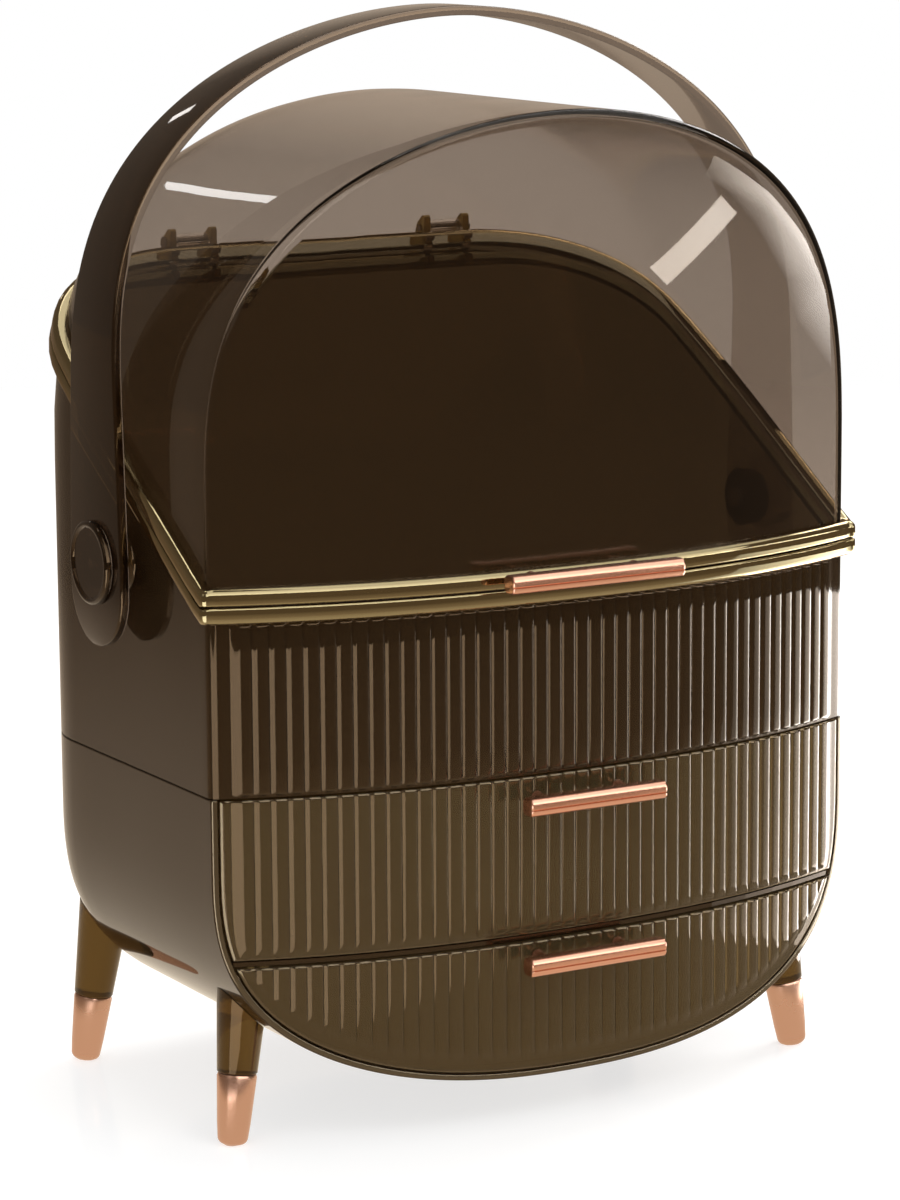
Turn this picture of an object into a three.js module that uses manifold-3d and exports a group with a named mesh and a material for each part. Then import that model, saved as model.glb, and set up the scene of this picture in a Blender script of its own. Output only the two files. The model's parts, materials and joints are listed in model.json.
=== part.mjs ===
// Egg-shaped makeup organizer: a dustproof lid over an open tray, two drawers below,
// a swinging carry handle and four splayed legs.
// Millimetres, +Z up. The object faces -Y and stands on z = 0.

import * as THREE from 'three';
import { mergeVertices } from 'three/addons/utils/BufferGeometryUtils.js';
import Module from 'manifold-3d';

const wasm = await Module();
wasm.setup();

// Body: width between the sides, depth from the front corners to the flat back
const bodyWidth = 300;
const bodyDepth = 176.5;
const frontBulge = 28;
const backRound = 48.5;
const wall = 2.6;

// Heights: the first two from the floor, the others each from the one it stands on
const bellyBottom = 20.5;
const drawerLineHeight = 78.8;
const bellyRise = 98.5;
const middleDrawerHeight = 67.2;
const trayHeight = 76.9;
const crownLift = 37.1;
const crownHeight = 150;

// Powers of the rounded outlines, and the rise of the parting line per length behind the corners
const crownSidePower = 1.93;
const crownTopPower = 2.9;
const bellySidePower = 2.4;
const bellyEndPower = 2.98;
const frontPower = 2.3;
const partingRiseShare = 0.63;

// Counts and spacing of the facets
const acrossSteps = 13;
const backRoundSteps = 5;
const spacingPower = 1.5;
const roundSegments = 24;
const smallSegments = 10;
const smallRadius = 3.5;
const cornerSegments = 3;
const bevelSteps = 1;

// Clearances: faces that seat, parts that slide, the visible line at the rim, and cutters' overrun
const seatGap = 0.3;
const slideGap = 0.5;
const rimGap = 0.6;
const overrun = 8;

// Beads along the parting line, floors and the lip that centres the tray on the housing
const flangeReach = 4.5;
const flangeHeight = 7;
const trayFloor = 2.4;
const lipHeight = 3;
const lipWall = 1.6;

// Shelf between the drawers and the ledges that carry it
const shelfThickness = 1.8;
const shelfSetBack = 1.2;
const ledgeReach = 5;
const ledgeHeight = 2.4;

// Drawers
const frontThickness = 2.6;
const drawerWall = 1.8;
const drawerBackGap = 6;

// Ribs of the fluted front
const ribPitch = 6.4;
const ribHeight = 0.9;
const ribRoot = 1;
const ribBorder = 6;
const ribShoulderShares = [0.22, 0.78];

// Metal pulls: a bar on two posts, each held by a screw from inside
const lidPullLength = 80;
const drawerPullLength = 63.6;
const pullHeight = 7.6;
const pullDepth = 8;
const pullRound = 2.6;
const pullBevel = 0.8;
const pullStandOff = 15;
const postRadius = 2.6;
const postSpacingShare = 0.6;
const middlePullDrop = 9;
const bottomPullDrop = 6.4;

// Screws
const screwRadius = 1.4;
const screwHeadRadius = 2.9;
const screwHeadHeight = 1.6;
const screwEngagement = 6;

// Hinge at the back of the rim
const hingeOffset = 62;
const hingeStandOff = 4.3;
const hingeHeight = 7.1;
const earSpacing = 19.5;
const earThickness = 3.2;
const earFrontGap = 0.5;
const earHeight = 13.2;
const earReach = 10.3;
const earTipRadius = 1.6;
const earBossRadius = 3.4;
const earRoot = 1.5;
const earTail = 2;
const knuckleRadius = 3.4;
const knuckleSideGap = 0.4;
const leafThickness = 3.4;
const pinRadius = 1.5;
const pinHeadRadius = 2.6;
const pinHeadThickness = 1.2;
const pinTail = 0.6;

// Handle: a flat band swinging on a pivot at each side
const pivotSetBack = 76;
const pivotDrop = 40.8;
const armGap = 3.4;
const bandThickness = 4;
const bandWidthLow = 47;
const bandWidthTop = 27;
const bandEndReach = 34;
const archLift = 36.5;
const handleClearance = 33;
const archSidePower = 1.84;
const archTopPower = 2.75;
const archSteps = 14;

// Pivot boss on the tray, cap outside the handle and screw from inside
const bossRadius = 12;
const stemRadius = 7.6;
const capRadius = 17;
const capThickness = 3.2;
const pivotScrewRadius = 2;
const pivotHeadRadius = 4.2;
const pivotHeadHeight = 2;
const pivotEngagement = 5;

// Legs: a tinted upper part on a peg under the belly, with a metal tip screwed into it
const footSideInset = 14;
const frontFootInset = 14;
const rearFootInset = 24;
const legLeanAcross = 9;
const legLeanDeep = 5;
const legTopHeight = 70;
const legTopRadius = 11;
const legJoinHeight = 29;
const legJoinRadius = 8.2;
const legTipRadius = 6.2;
const legTipRound = 3;
const legTipTrim = 0.5;
const tipRoundSteps = 3;
const pegRadius = 3.6;
const pegLength = 8;
const studRadius = 2.6;
const studLength = 7;

// Derived heights
const bellyStart = bellyBottom + bellyRise;
const seamHeight = drawerLineHeight + middleDrawerHeight;
const rimHeight = seamHeight + trayHeight;
const crownStart = rimHeight + crownLift;
const crownTop = crownStart + crownHeight;
const pivotHeight = partingAt(pivotSetBack) - pivotDrop;
const archStart = crownStart + archLift;
const handleTop = crownTop + handleClearance + bandThickness;

// Derived places
const halfWidth = bodyWidth / 2;
const frontMost = -frontBulge;
const backStart = bodyDepth - backRound;
const footSpread = halfWidth - footSideInset;
const rimHalfSpan = halfWidth + flangeReach;
const rimBack = bodyDepth + flangeReach;
const hingeY = rimBack + hingeStandOff;
const hingeZ = partingAt(rimBack) + hingeHeight;
const armInner = rimHalfSpan + armGap;
const armOuter = armInner + bandThickness;
const shelfTop = drawerLineHeight + shelfThickness / 2;
const shelfUnder = drawerLineHeight - shelfThickness / 2;
const drawerInset = wall + slideGap;
const drawerBack = backStart - drawerBackGap;
const pullFace = pullStandOff + pullDepth / 2;
const lidPullHeight = rimHeight + flangeHeight / 2 + pullBevel;
const middlePullHeight = seamHeight - middlePullDrop;
const bottomPullHeight = shelfUnder - bottomPullDrop;

// Finishes
const tintedPlastic = { color: 0x5a4534, roughness: 0.12, metalness: 0, transparent: true };
const domeFinish = new THREE.MeshStandardMaterial({ ...tintedPlastic, opacity: 0.45 });
const shellFinish = new THREE.MeshStandardMaterial({ ...tintedPlastic, opacity: 0.8 });
const drawerFinish = new THREE.MeshStandardMaterial({ ...tintedPlastic, color: 0x77684a, opacity: 0.7 });
const roseGold = new THREE.MeshStandardMaterial({ color: 0xc98670, roughness: 0.25, metalness: 1 });
const steel = new THREE.MeshStandardMaterial({ color: 0xb4b0aa, roughness: 0.35, metalness: 1 });

// Height of the parting line at a depth: level along the front, rising behind the corners
function partingAt(y) {
  return rimHeight + partingRiseShare * Math.max(0, y);
}

// Depth of the bowed front at a place across, set back by a distance
function frontLine(x, setBack) {
  const share = Math.min(1, Math.abs(x) / halfWidth);
  return setBack - frontBulge * (1 - share ** frontPower);
}

// Half outline of the egg at a share of its half width, drawn in by an inset
function outlineAt(share, inset) {
  const side = Math.abs(share);
  const crown = (1 - side ** crownSidePower) ** (1 / crownTopPower);
  const belly = (1 - side ** bellySidePower) ** (1 / bellyEndPower);
  return {
    x: share * (halfWidth - inset),
    top: crownStart + (crownTop - crownStart - inset) * crown,
    bottom: bellyStart - (bellyStart - bellyBottom - inset) * belly,
  };
}

// Places across the width, closer together towards the sides
function acrossShares() {
  const shares = [];
  for (let i = -acrossSteps; i <= acrossSteps; i += 1) {
    const away = Math.abs(i) / acrossSteps;
    const angle = (Math.PI / 2) * (1 - (1 - away) ** spacingPower);
    shares.push(Math.sign(i) * Math.sin(angle) ** (2 / crownSidePower));
  }
  return shares;
}

// One closed ring of the egg's outline, clockwise seen from the front
function eggRing(inset, depthAt) {
  const top = [];
  const bottom = [];
  for (const share of acrossShares()) {
    const at = outlineAt(share, inset);
    const y = depthAt(at.x);
    top.push(new THREE.Vector3(at.x, y, at.top));
    bottom.unshift(new THREE.Vector3(at.x, y, at.bottom));
  }
  return [...top, ...bottom];
}

// Closed skin over rings laid from front to back, capped by upright strips
function loft(rings) {
  const count = rings[0].length;
  const columns = count / 2;
  const points = rings.flat().flatMap((p) => [p.x, p.y, p.z]);
  const index = [];
  for (let r = 0; r + 1 < rings.length; r += 1) {
    for (let j = 0; j < count; j += 1) {
      const a = r * count + j;
      const b = r * count + ((j + 1) % count);
      index.push(a, b, b + count, a, b + count, a + count);
    }
  }
  const last = (rings.length - 1) * count;
  for (let i = 0; i + 1 < columns; i += 1) {
    const [t0, t1, b0, b1] = [i, i + 1, count - 1 - i, count - 2 - i];
    index.push(t0, b0, b1, t0, b1, t1);
    index.push(last + t0, last + b1, last + b0, last + t0, last + t1, last + b1);
  }
  const geometry = new THREE.BufferGeometry();
  geometry.setAttribute('position', new THREE.Float32BufferAttribute(points, 3));
  geometry.setIndex(index);
  return geometry;
}

// Closed three.js geometry to a solid for joining and cutting
function solid(geometry) {
  const bare = geometry.clone();
  for (const name of ['normal', 'uv']) {
    bare.deleteAttribute(name);
  }
  const merged = mergeVertices(bare);
  return new wasm.Manifold(new wasm.Mesh({
    numProp: 3,
    vertProperties: new Float32Array(merged.attributes.position.array),
    triVerts: new Uint32Array(merged.index.array),
  }));
}

// Solid back to a named mesh
function piece(name, body, finish) {
  const raw = body.getMesh();
  const geometry = new THREE.BufferGeometry();
  geometry.setAttribute('position', new THREE.Float32BufferAttribute(raw.vertProperties, raw.numProp));
  geometry.setIndex(Array.from(raw.triVerts));
  geometry.computeVertexNormals();
  const mesh = new THREE.Mesh(geometry, finish);
  mesh.name = name;
  return mesh;
}

// Whole egg drawn in by an inset, with its front set back and its back edges rounded
function egg(inset, frontSetBack = inset) {
  const rings = [eggRing(inset, (x) => frontLine(x, frontSetBack))];
  const radius = backRound - inset;
  for (let k = 0; k <= backRoundSteps; k += 1) {
    const angle = (Math.PI / 2) * (k / backRoundSteps);
    const y = backStart + radius * Math.sin(angle);
    rings.push(eggRing(inset + radius * (1 - Math.cos(angle)), () => y));
  }
  return solid(loft(rings));
}

// Straight prism of the egg's outline between two depths across the width
function outlinePrism(inset, frontAt, backAt) {
  return solid(loft([eggRing(inset, frontAt), eggRing(inset, backAt)]));
}

// Box between two corners
function box(low, high) {
  const size = new THREE.Vector3().subVectors(high, low);
  const centre = new THREE.Vector3().addVectors(low, high).multiplyScalar(1 / 2);
  const geometry = new THREE.BoxGeometry(size.x, size.y, size.z);
  geometry.translate(centre.x, centre.y, centre.z);
  return solid(geometry);
}

// Level slice through the whole object
function slice(low, high) {
  const side = rimHalfSpan + overrun;
  return box(
    new THREE.Vector3(-side, frontMost - flangeReach - overrun, low),
    new THREE.Vector3(side, rimBack + overrun, high),
  );
}

// Outline in depth and height, extruded across between two places given in either order
function sideExtrude(shape, end, otherEnd, options = {}) {
  const from = Math.min(end, otherEnd);
  const depth = Math.max(end, otherEnd) - from;
  const geometry = new THREE.ExtrudeGeometry(shape, {
    depth, bevelEnabled: false, curveSegments: roundSegments, ...options,
  });
  geometry.applyMatrix4(new THREE.Matrix4().makeBasis(
    new THREE.Vector3(0, 1, 0),
    new THREE.Vector3(0, 0, 1),
    new THREE.Vector3(1, 0, 0),
  ));
  geometry.translate(from, 0, 0);
  return solid(geometry);
}

// Region between two heights measured from the parting line
function partingBand(low, high) {
  const front = frontMost - flangeReach - overrun;
  const back = rimBack + overrun;
  const shape = new THREE.Shape([
    new THREE.Vector2(front, partingAt(front) + low),
    new THREE.Vector2(0, partingAt(0) + low),
    new THREE.Vector2(back, partingAt(back) + low),
    new THREE.Vector2(back, partingAt(back) + high),
    new THREE.Vector2(0, partingAt(0) + high),
    new THREE.Vector2(front, partingAt(front) + high),
  ]);
  const side = rimHalfSpan + overrun;
  return sideExtrude(shape, -side, side);
}

// Facets round a rod, fewer on a thin one
function facetsFor(radius) {
  return radius < smallRadius ? smallSegments : roundSegments;
}

// Rod along X, its two ends given in either order
function rodAcross(radius, end, otherEnd, y, z) {
  const from = Math.min(end, otherEnd);
  const to = Math.max(end, otherEnd);
  const geometry = new THREE.CylinderGeometry(radius, radius, to - from, facetsFor(radius));
  geometry.rotateZ(Math.PI / 2);
  geometry.translate((from + to) / 2, y, z);
  return solid(geometry);
}

// Rod along Y
function rodDeep(radius, from, to, x, z) {
  const geometry = new THREE.CylinderGeometry(radius, radius, to - from, facetsFor(radius));
  geometry.translate(x, (from + to) / 2, z);
  return solid(geometry);
}

// Fluted skin of the front between two heights
function ribs(low, high) {
  const count = Math.floor((2 * (halfWidth - ribBorder)) / ribPitch);
  const start = -(count * ribPitch) / 2;
  const outer = [];
  const inner = [];
  for (let i = 0; i < count; i += 1) {
    const x = start + i * ribPitch;
    outer.push(new THREE.Vector2(x, frontLine(x, 0)));
    inner.unshift(new THREE.Vector2(x, frontLine(x, ribRoot)));
    for (const share of ribShoulderShares) {
      const shoulder = x + share * ribPitch;
      outer.push(new THREE.Vector2(shoulder, frontLine(shoulder, -ribHeight)));
    }
  }
  outer.push(new THREE.Vector2(-start, frontLine(-start, 0)));
  inner.unshift(new THREE.Vector2(-start, frontLine(-start, ribRoot)));
  const shape = new THREE.Shape([...outer, ...inner]);
  const geometry = new THREE.ExtrudeGeometry(shape, { depth: high - low, bevelEnabled: false });
  geometry.translate(0, 0, low);
  return solid(geometry);
}

// Inset of the shell's outline in the rounded back
function insetAt(y) {
  const into = Math.max(0, y - backStart) / backRound;
  return backRound * (1 - Math.sqrt(1 - into * into));
}

// Height of the belly over a place on the floor
function bellyAt(x, y) {
  const inset = insetAt(y);
  return outlineAt(x / (halfWidth - inset), inset).bottom;
}

// Axis of a leg from its foot to its top, at a corner given by two signs
function legAxis(side, end) {
  const footY = end < 0 ? frontFootInset : bodyDepth - rearFootInset;
  const foot = new THREE.Vector3(side * footSpread, footY, 0);
  const top = new THREE.Vector3(side * (footSpread - legLeanAcross), footY - end * legLeanDeep, legTopHeight);
  return { foot, top, direction: new THREE.Vector3().subVectors(top, foot).normalize() };
}

// Height at which the leg's axis meets the belly
function legMeeting(axis) {
  const place = axis.foot.clone().lerp(axis.top, bellyAt(axis.top.x, axis.top.y) / legTopHeight);
  return bellyAt(place.x, place.y);
}

// Turned shape about a leg's axis, its profile given as radius and height up the leg
function turnedOnLeg(axis, profile, segments = roundSegments) {
  const points = profile.map(([radius, height]) => new THREE.Vector2(radius, height));
  const geometry = new THREE.LatheGeometry(points, segments);
  const up = new THREE.Vector3(0, 1, 0);
  geometry.applyQuaternion(new THREE.Quaternion().setFromUnitVectors(up, axis.direction));
  geometry.translate(axis.foot.x, axis.foot.y, axis.foot.z);
  return solid(geometry);
}

// Plain rod about a leg's axis
function rodOnLeg(axis, radius, low, high) {
  return turnedOnLeg(axis, [[0, low], [radius, low], [radius, high], [0, high]], smallSegments);
}

const corners = [
  { name: 'front_left', side: -1, end: -1 },
  { name: 'front_right', side: 1, end: -1 },
  { name: 'rear_left', side: -1, end: 1 },
  { name: 'rear_right', side: 1, end: 1 },
];

// Peg under the belly that a leg is pushed on to
function legPeg(axis) {
  const meeting = legMeeting(axis);
  return rodOnLeg(axis, pegRadius, meeting - pegLength, meeting + overrun).subtract(egg(wall / 2));
}

// Ledges inside the housing that carry the shelf
function shelfLedges() {
  const top = shelfUnder - seatGap;
  const middle = halfWidth - ledgeReach - wall - (bellyStart - shelfUnder) * wallLeanShare();
  const reach = box(
    new THREE.Vector3(-halfWidth, 0, top - ledgeHeight),
    new THREE.Vector3(halfWidth, backStart, top),
  );
  const between = box(
    new THREE.Vector3(-middle, -overrun, top - ledgeHeight - overrun),
    new THREE.Vector3(middle, backStart + overrun, top + overrun),
  );
  return reach.subtract(between).intersect(egg(wall / 2));
}

// Mean lean of the side wall between the shelf and the straight sides
function wallLeanShare() {
  const drop = (bellyStart - shelfUnder) / (bellyStart - bellyBottom);
  const share = (1 - drop ** bellyEndPower) ** (1 / bellySidePower);
  return (halfWidth * (1 - share)) / (bellyStart - shelfUnder);
}

// Lower housing: belly, sides and back round the drawers, open in front and on top
function lowerHousing() {
  const top = seamHeight - seatGap / 2;
  const inside = egg(wall, frontMost - overrun);
  let shell = egg(0).intersect(slice(0, top)).subtract(inside).add(shelfLedges());
  for (const { side, end } of corners) {
    shell = shell.add(legPeg(legAxis(side, end)));
  }
  return piece('lower_housing', shell, shellFinish);
}

// Shelf between the two drawers
function drawerShelf() {
  const plate = egg(wall + seatGap, shelfSetBack).intersect(slice(shelfUnder, shelfTop));
  return piece('drawer_shelf', plate, shellFinish);
}

// Centre of an ear's rounded tip, in depth and height
function earTip() {
  const base = partingAt(rimBack) - rimGap / 2;
  return new THREE.Vector2(rimBack + earFrontGap + earTipRadius, base + earHeight - earTipRadius);
}

// Outline of an ear: upright in front, round at its tip, sloping over the pin to the rear
function earOutline() {
  const front = rimBack + earFrontGap;
  const base = partingAt(rimBack) - rimGap / 2;
  const tip = earTip();
  const pin = new THREE.Vector2(hingeY, hingeZ);
  const rear = new THREE.Vector2(front + earReach, base);
  const down = new THREE.Vector2().subVectors(pin, tip);
  const away = new THREE.Vector2().subVectors(rear, pin);
  const slope = Math.atan2(down.y, down.x) + Math.acos((earTipRadius - earBossRadius) / down.length());
  const fall = Math.atan2(away.y, away.x) + Math.acos(earBossRadius / away.length());
  const shape = new THREE.Shape();
  shape.moveTo(rimBack - earRoot, base - earRoot * partingRiseShare);
  shape.lineTo(front, base);
  shape.absarc(tip.x, tip.y, earTipRadius, Math.PI, slope, true);
  shape.absarc(pin.x, pin.y, earBossRadius, slope, fall, true);
  shape.lineTo(rear.x, rear.y);
  shape.lineTo(rimBack - earRoot, base - flangeHeight - earTail);
  return shape;
}

// Ears of one hinge on the tray's rim
function hingeEars(centre) {
  const shape = earOutline();
  let pair = null;
  for (const side of [-1, 1]) {
    const from = centre + side * (earSpacing / 2) - earThickness / 2;
    const ear = sideExtrude(shape, from, from + earThickness);
    pair = pair ? pair.add(ear) : ear;
  }
  return pair.subtract(pinBore(centre));
}

// Bore of one hinge, a clearance over the pin
function pinBore(centre) {
  const reach = earSpacing / 2 + earThickness;
  return rodAcross(pinRadius + seatGap, centre - reach, centre + reach, hingeY, hingeZ);
}

// Pivot boss at one side of the tray
function pivotBoss(side) {
  const root = side * (halfWidth - wall / 2);
  return rodAcross(bossRadius, root, side * (armInner - seatGap), pivotSetBack, pivotHeight);
}

// Bore for a pivot screw through the wall and its boss
function pivotBore(side) {
  const inside = side * (halfWidth - overrun);
  const outside = side * (armInner + overrun);
  return rodAcross(pivotScrewRadius + seatGap, inside, outside, pivotSetBack, pivotHeight);
}

// Upper tray: open compartment with fluted front, rim bead, hinge ears and pivot bosses
function upperTray() {
  const base = seamHeight + seatGap / 2;
  const ceiling = -rimGap / 2;
  const below = partingBand(-crownTop, ceiling);
  const bead = egg(-flangeReach).intersect(partingBand(ceiling - flangeHeight, ceiling));
  let body = egg(0).intersect(slice(base, crownTop)).intersect(below);
  body = body.add(ribs(base, rimHeight - flangeHeight)).add(bead);
  body = body.subtract(egg(wall).intersect(slice(base + trayFloor, crownTop + overrun)));
  for (const centre of [-hingeOffset, hingeOffset]) {
    body = body.add(hingeEars(centre));
  }
  for (const side of [-1, 1]) {
    body = body.add(pivotBoss(side)).subtract(pivotBore(side));
  }
  return piece('upper_tray', body.add(trayLip()), shellFinish);
}

// Lip under the tray that centres it inside the housing's sides and back
function trayLip() {
  const behindFronts = frontThickness + slideGap;
  const ring = egg(wall + seatGap).subtract(egg(wall + seatGap + lipWall, frontMost - overrun));
  const zone = box(
    new THREE.Vector3(-halfWidth, behindFronts, seamHeight - lipHeight),
    new THREE.Vector3(halfWidth, bodyDepth, seamHeight + trayFloor / 2),
  );
  return ring.intersect(zone);
}

// Knuckle of one hinge with the leaf that joins it to the lid's bead
function hingeKnuckle(centre) {
  const half = earSpacing / 2 - earThickness / 2 - knuckleSideGap;
  const barrel = rodAcross(knuckleRadius, centre - half, centre + half, hingeY, hingeZ);
  const leaf = box(
    new THREE.Vector3(centre - half, rimBack - flangeReach / 2, hingeZ - leafThickness),
    new THREE.Vector3(centre + half, hingeY, hingeZ),
  );
  return barrel.add(leaf).subtract(pinBore(centre));
}

// Room in the lid's bead for the ears of one hinge, as wide as their tips reach round the pin
function earRoom(centre) {
  const sweep = earTip().distanceTo(new THREE.Vector2(hingeY, hingeZ)) + earTipRadius + slideGap;
  let room = null;
  for (const side of [-1, 1]) {
    const middle = centre + side * (earSpacing / 2);
    const half = earThickness / 2 + knuckleSideGap;
    const disc = rodAcross(sweep, middle - half, middle + half, hingeY, hingeZ);
    room = room ? room.add(disc) : disc;
  }
  return room;
}

// Lid: clear dome over the tray, with its bead and hinge knuckles
function lidShell() {
  const floor = rimGap / 2;
  const bead = egg(-flangeReach).intersect(partingBand(floor, floor + flangeHeight));
  let body = egg(0).intersect(partingBand(floor, crownTop)).add(bead).subtract(egg(wall));
  for (const centre of [-hingeOffset, hingeOffset]) {
    body = body.add(hingeKnuckle(centre)).subtract(earRoom(centre));
  }
  for (const bore of pullBores(lidPullLength, lidPullHeight)) {
    body = body.subtract(bore);
  }
  return piece('lid_shell', body, domeFinish);
}

// Places of the two posts of a pull
function postPlaces(length) {
  const half = (length * postSpacingShare) / 2;
  return [-half, half];
}

// Clearance bores for the screws of a pull through everything behind it
function pullBores(length, height) {
  return postPlaces(length).map((x) => rodDeep(
    screwRadius + seatGap,
    frontLine(x, -pullStandOff + pullDepth / 2),
    frontLine(x, frontThickness + drawerWall + overrun),
    x,
    height,
  ));
}

// Pull: rounded bar on two posts, standing before a face that lies out from the front
function pull(name, length, height, faceOut) {
  const middle = frontLine(0, -pullStandOff);
  const [y0, y1] = [middle - pullDepth / 2 + pullBevel, middle + pullDepth / 2 - pullBevel];
  const [z0, z1] = [height - pullHeight / 2 + pullBevel, height + pullHeight / 2 - pullBevel];
  const r = pullRound - pullBevel;
  const shape = new THREE.Shape();
  shape.absarc(y1 - r, z1 - r, r, 0, Math.PI / 2);
  shape.absarc(y0 + r, z1 - r, r, Math.PI / 2, Math.PI);
  shape.absarc(y0 + r, z0 + r, r, Math.PI, (3 * Math.PI) / 2);
  shape.absarc(y1 - r, z0 + r, r, (3 * Math.PI) / 2, 2 * Math.PI);
  const half = length / 2 - pullBevel;
  let bar = sideExtrude(shape, -half, half, {
    curveSegments: cornerSegments,
    bevelEnabled: true,
    bevelSize: pullBevel,
    bevelThickness: pullBevel,
    bevelSegments: bevelSteps,
  });
  for (const x of postPlaces(length)) {
    bar = bar.add(rodDeep(postRadius, middle, frontLine(x, -faceOut - seatGap), x, height));
    bar = bar.subtract(screwHole(x, height, faceOut));
  }
  return piece(name, bar, roseGold);
}

// Blind hole up a post for its screw
function screwHole(x, height, faceOut) {
  const face = frontLine(x, -faceOut - seatGap);
  return rodDeep(screwRadius + seatGap, face - screwEngagement - seatGap, face + overrun, x, height);
}

// Screws of a pull, heads against a face behind the front
function pullScrews(name, length, height, faceOut, faceIn) {
  return postPlaces(length).map((x, i) => {
    const tip = frontLine(x, -faceOut - seatGap - screwEngagement);
    const seat = frontLine(x, faceIn + seatGap);
    const body = rodDeep(screwRadius, tip, seat + screwHeadHeight / 2, x, height)
      .add(rodDeep(screwHeadRadius, seat, seat + screwHeadHeight, x, height));
    return piece(`${name}_screw_${['left', 'right'][i]}`, body, steel);
  });
}

// Drawer: open tray behind a fluted front, between two heights
function drawer(name, low, high, trayHigh, pullAt) {
  const front = (setBack) => (x) => frontLine(x, setBack);
  const trayFront = frontThickness + seatGap;
  const bores = pullBores(drawerPullLength, pullAt);
  let tray = outlinePrism(drawerInset, front(trayFront), () => drawerBack).intersect(slice(low, trayHigh));
  const room = outlinePrism(
    drawerInset + drawerWall,
    front(trayFront + drawerWall),
    () => drawerBack - drawerWall,
  ).intersect(slice(low + drawerWall, trayHigh + overrun));
  tray = tray.subtract(room);
  let plate = outlinePrism(drawerInset, front(0), front(frontThickness)).intersect(slice(low, high));
  const ribZone = outlinePrism(drawerInset + ribBorder, front(-ribHeight - overrun), front(frontThickness));
  plate = plate.add(ribs(low, high).intersect(ribZone));
  for (const bore of bores) {
    tray = tray.subtract(bore);
    plate = plate.subtract(bore);
  }
  return [
    piece(`${name}_tray`, tray, drawerFinish),
    piece(`${name}_front`, plate, drawerFinish),
    pull(`${name}_pull`, drawerPullLength, pullAt, ribHeight),
    ...pullScrews(name, drawerPullLength, pullAt, ribHeight, trayFront + drawerWall),
  ];
}

// Hinge pin with a head at its outer end
function hingePin(name, centre) {
  const out = Math.sign(centre);
  const reach = earSpacing / 2 + earThickness / 2;
  const tail = centre - out * (reach + pinTail);
  const seat = centre + out * (reach + seatGap);
  const body = rodAcross(pinRadius, tail, seat + out * (pinHeadThickness / 2), hingeY, hingeZ)
    .add(rodAcross(pinHeadRadius, seat, seat + out * pinHeadThickness, hingeY, hingeZ));
  return piece(name, body, steel);
}

// Half width of the handle's band at a height
function bandHalfAt(z) {
  const share = Math.min(1, Math.max(0, (z - pivotHeight) / (handleTop - pivotHeight)));
  return (bandWidthLow + (bandWidthTop - bandWidthLow) * share) / 2;
}

// Arched part of the band, as four-cornered sections from one arm over to the other
function handleArch() {
  const points = [];
  const index = [];
  const around = 4;
  for (let i = -archSteps; i <= archSteps; i += 1) {
    const away = Math.abs(i) / archSteps;
    const angle = (Math.PI / 2) * (1 - (1 - away) ** spacingPower);
    const across = Math.sign(i) * Math.sin(angle) ** (2 / archSidePower);
    const up = Math.cos(angle) ** (2 / archTopPower);
    const outer = [across * armOuter, archStart + (handleTop - archStart) * up];
    const inner = [across * armInner, archStart + (handleTop - bandThickness - archStart) * up];
    const half = bandHalfAt(outer[1]);
    for (const [[x, z], y] of [[outer, -half], [outer, half], [inner, half], [inner, -half]]) {
      points.push(x, pivotSetBack + y, z);
    }
  }
  const rings = 2 * archSteps + 1;
  for (let r = 0; r + 1 < rings; r += 1) {
    for (let j = 0; j < around; j += 1) {
      const a = around * r + j;
      const b = around * r + ((j + 1) % around);
      index.push(a, b + around, b, a, a + around, b + around);
    }
  }
  const last = around * (rings - 1);
  index.push(0, 1, 2, 0, 2, 3, last, last + 2, last + 1, last, last + 3, last + 2);
  const geometry = new THREE.BufferGeometry();
  geometry.setAttribute('position', new THREE.Float32BufferAttribute(points, 3));
  geometry.setIndex(index);
  return geometry;
}

// Flat arm of the handle at one side, with a round lower end about the pivot
function handleArm(side) {
  const half = bandHalfAt(pivotHeight);
  const topHalf = bandHalfAt(archStart);
  const roundCentre = pivotHeight - bandEndReach + half;
  const shape = new THREE.Shape();
  shape.moveTo(pivotSetBack - topHalf, archStart);
  shape.lineTo(pivotSetBack - half, pivotHeight);
  shape.absarc(pivotSetBack, roundCentre, half, Math.PI, 2 * Math.PI);
  shape.lineTo(pivotSetBack + half, pivotHeight);
  shape.lineTo(pivotSetBack + topHalf, archStart);
  return sideExtrude(shape, side * armInner, side * armOuter);
}

// Carry handle: arch and two arms, bored at the pivots
function carryHandle() {
  let body = solid(handleArch());
  const reach = armOuter + overrun;
  for (const side of [-1, 1]) {
    body = body.add(handleArm(side));
  }
  const bore = rodAcross(stemRadius + seatGap, -reach, reach, pivotSetBack, pivotHeight);
  return piece('carry_handle', body.subtract(bore), shellFinish);
}

// Cap over a pivot: a disc with a stem through the handle
function pivotCap(name, side) {
  const under = side * (armOuter + seatGap);
  const face = under + side * capThickness;
  const holeEnd = side * (armInner + pivotEngagement + seatGap);
  const hole = rodAcross(pivotScrewRadius + seatGap, side * halfWidth, holeEnd, pivotSetBack, pivotHeight);
  const body = rodAcross(stemRadius, side * armInner, (under + face) / 2, pivotSetBack, pivotHeight)
    .add(rodAcross(capRadius, under, face, pivotSetBack, pivotHeight))
    .subtract(hole);
  return piece(name, body, shellFinish);
}

// Screw that holds a pivot cap, its head inside the tray
function pivotScrew(name, side) {
  const seat = halfWidth - wall - seatGap;
  const root = side * (seat - pivotHeadHeight / 2);
  const tip = side * (armInner + pivotEngagement);
  const inside = side * (seat - pivotHeadHeight);
  const body = rodAcross(pivotHeadRadius, inside, side * seat, pivotSetBack, pivotHeight)
    .add(rodAcross(pivotScrewRadius, root, tip, pivotSetBack, pivotHeight));
  return piece(name, body, steel);
}

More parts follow.
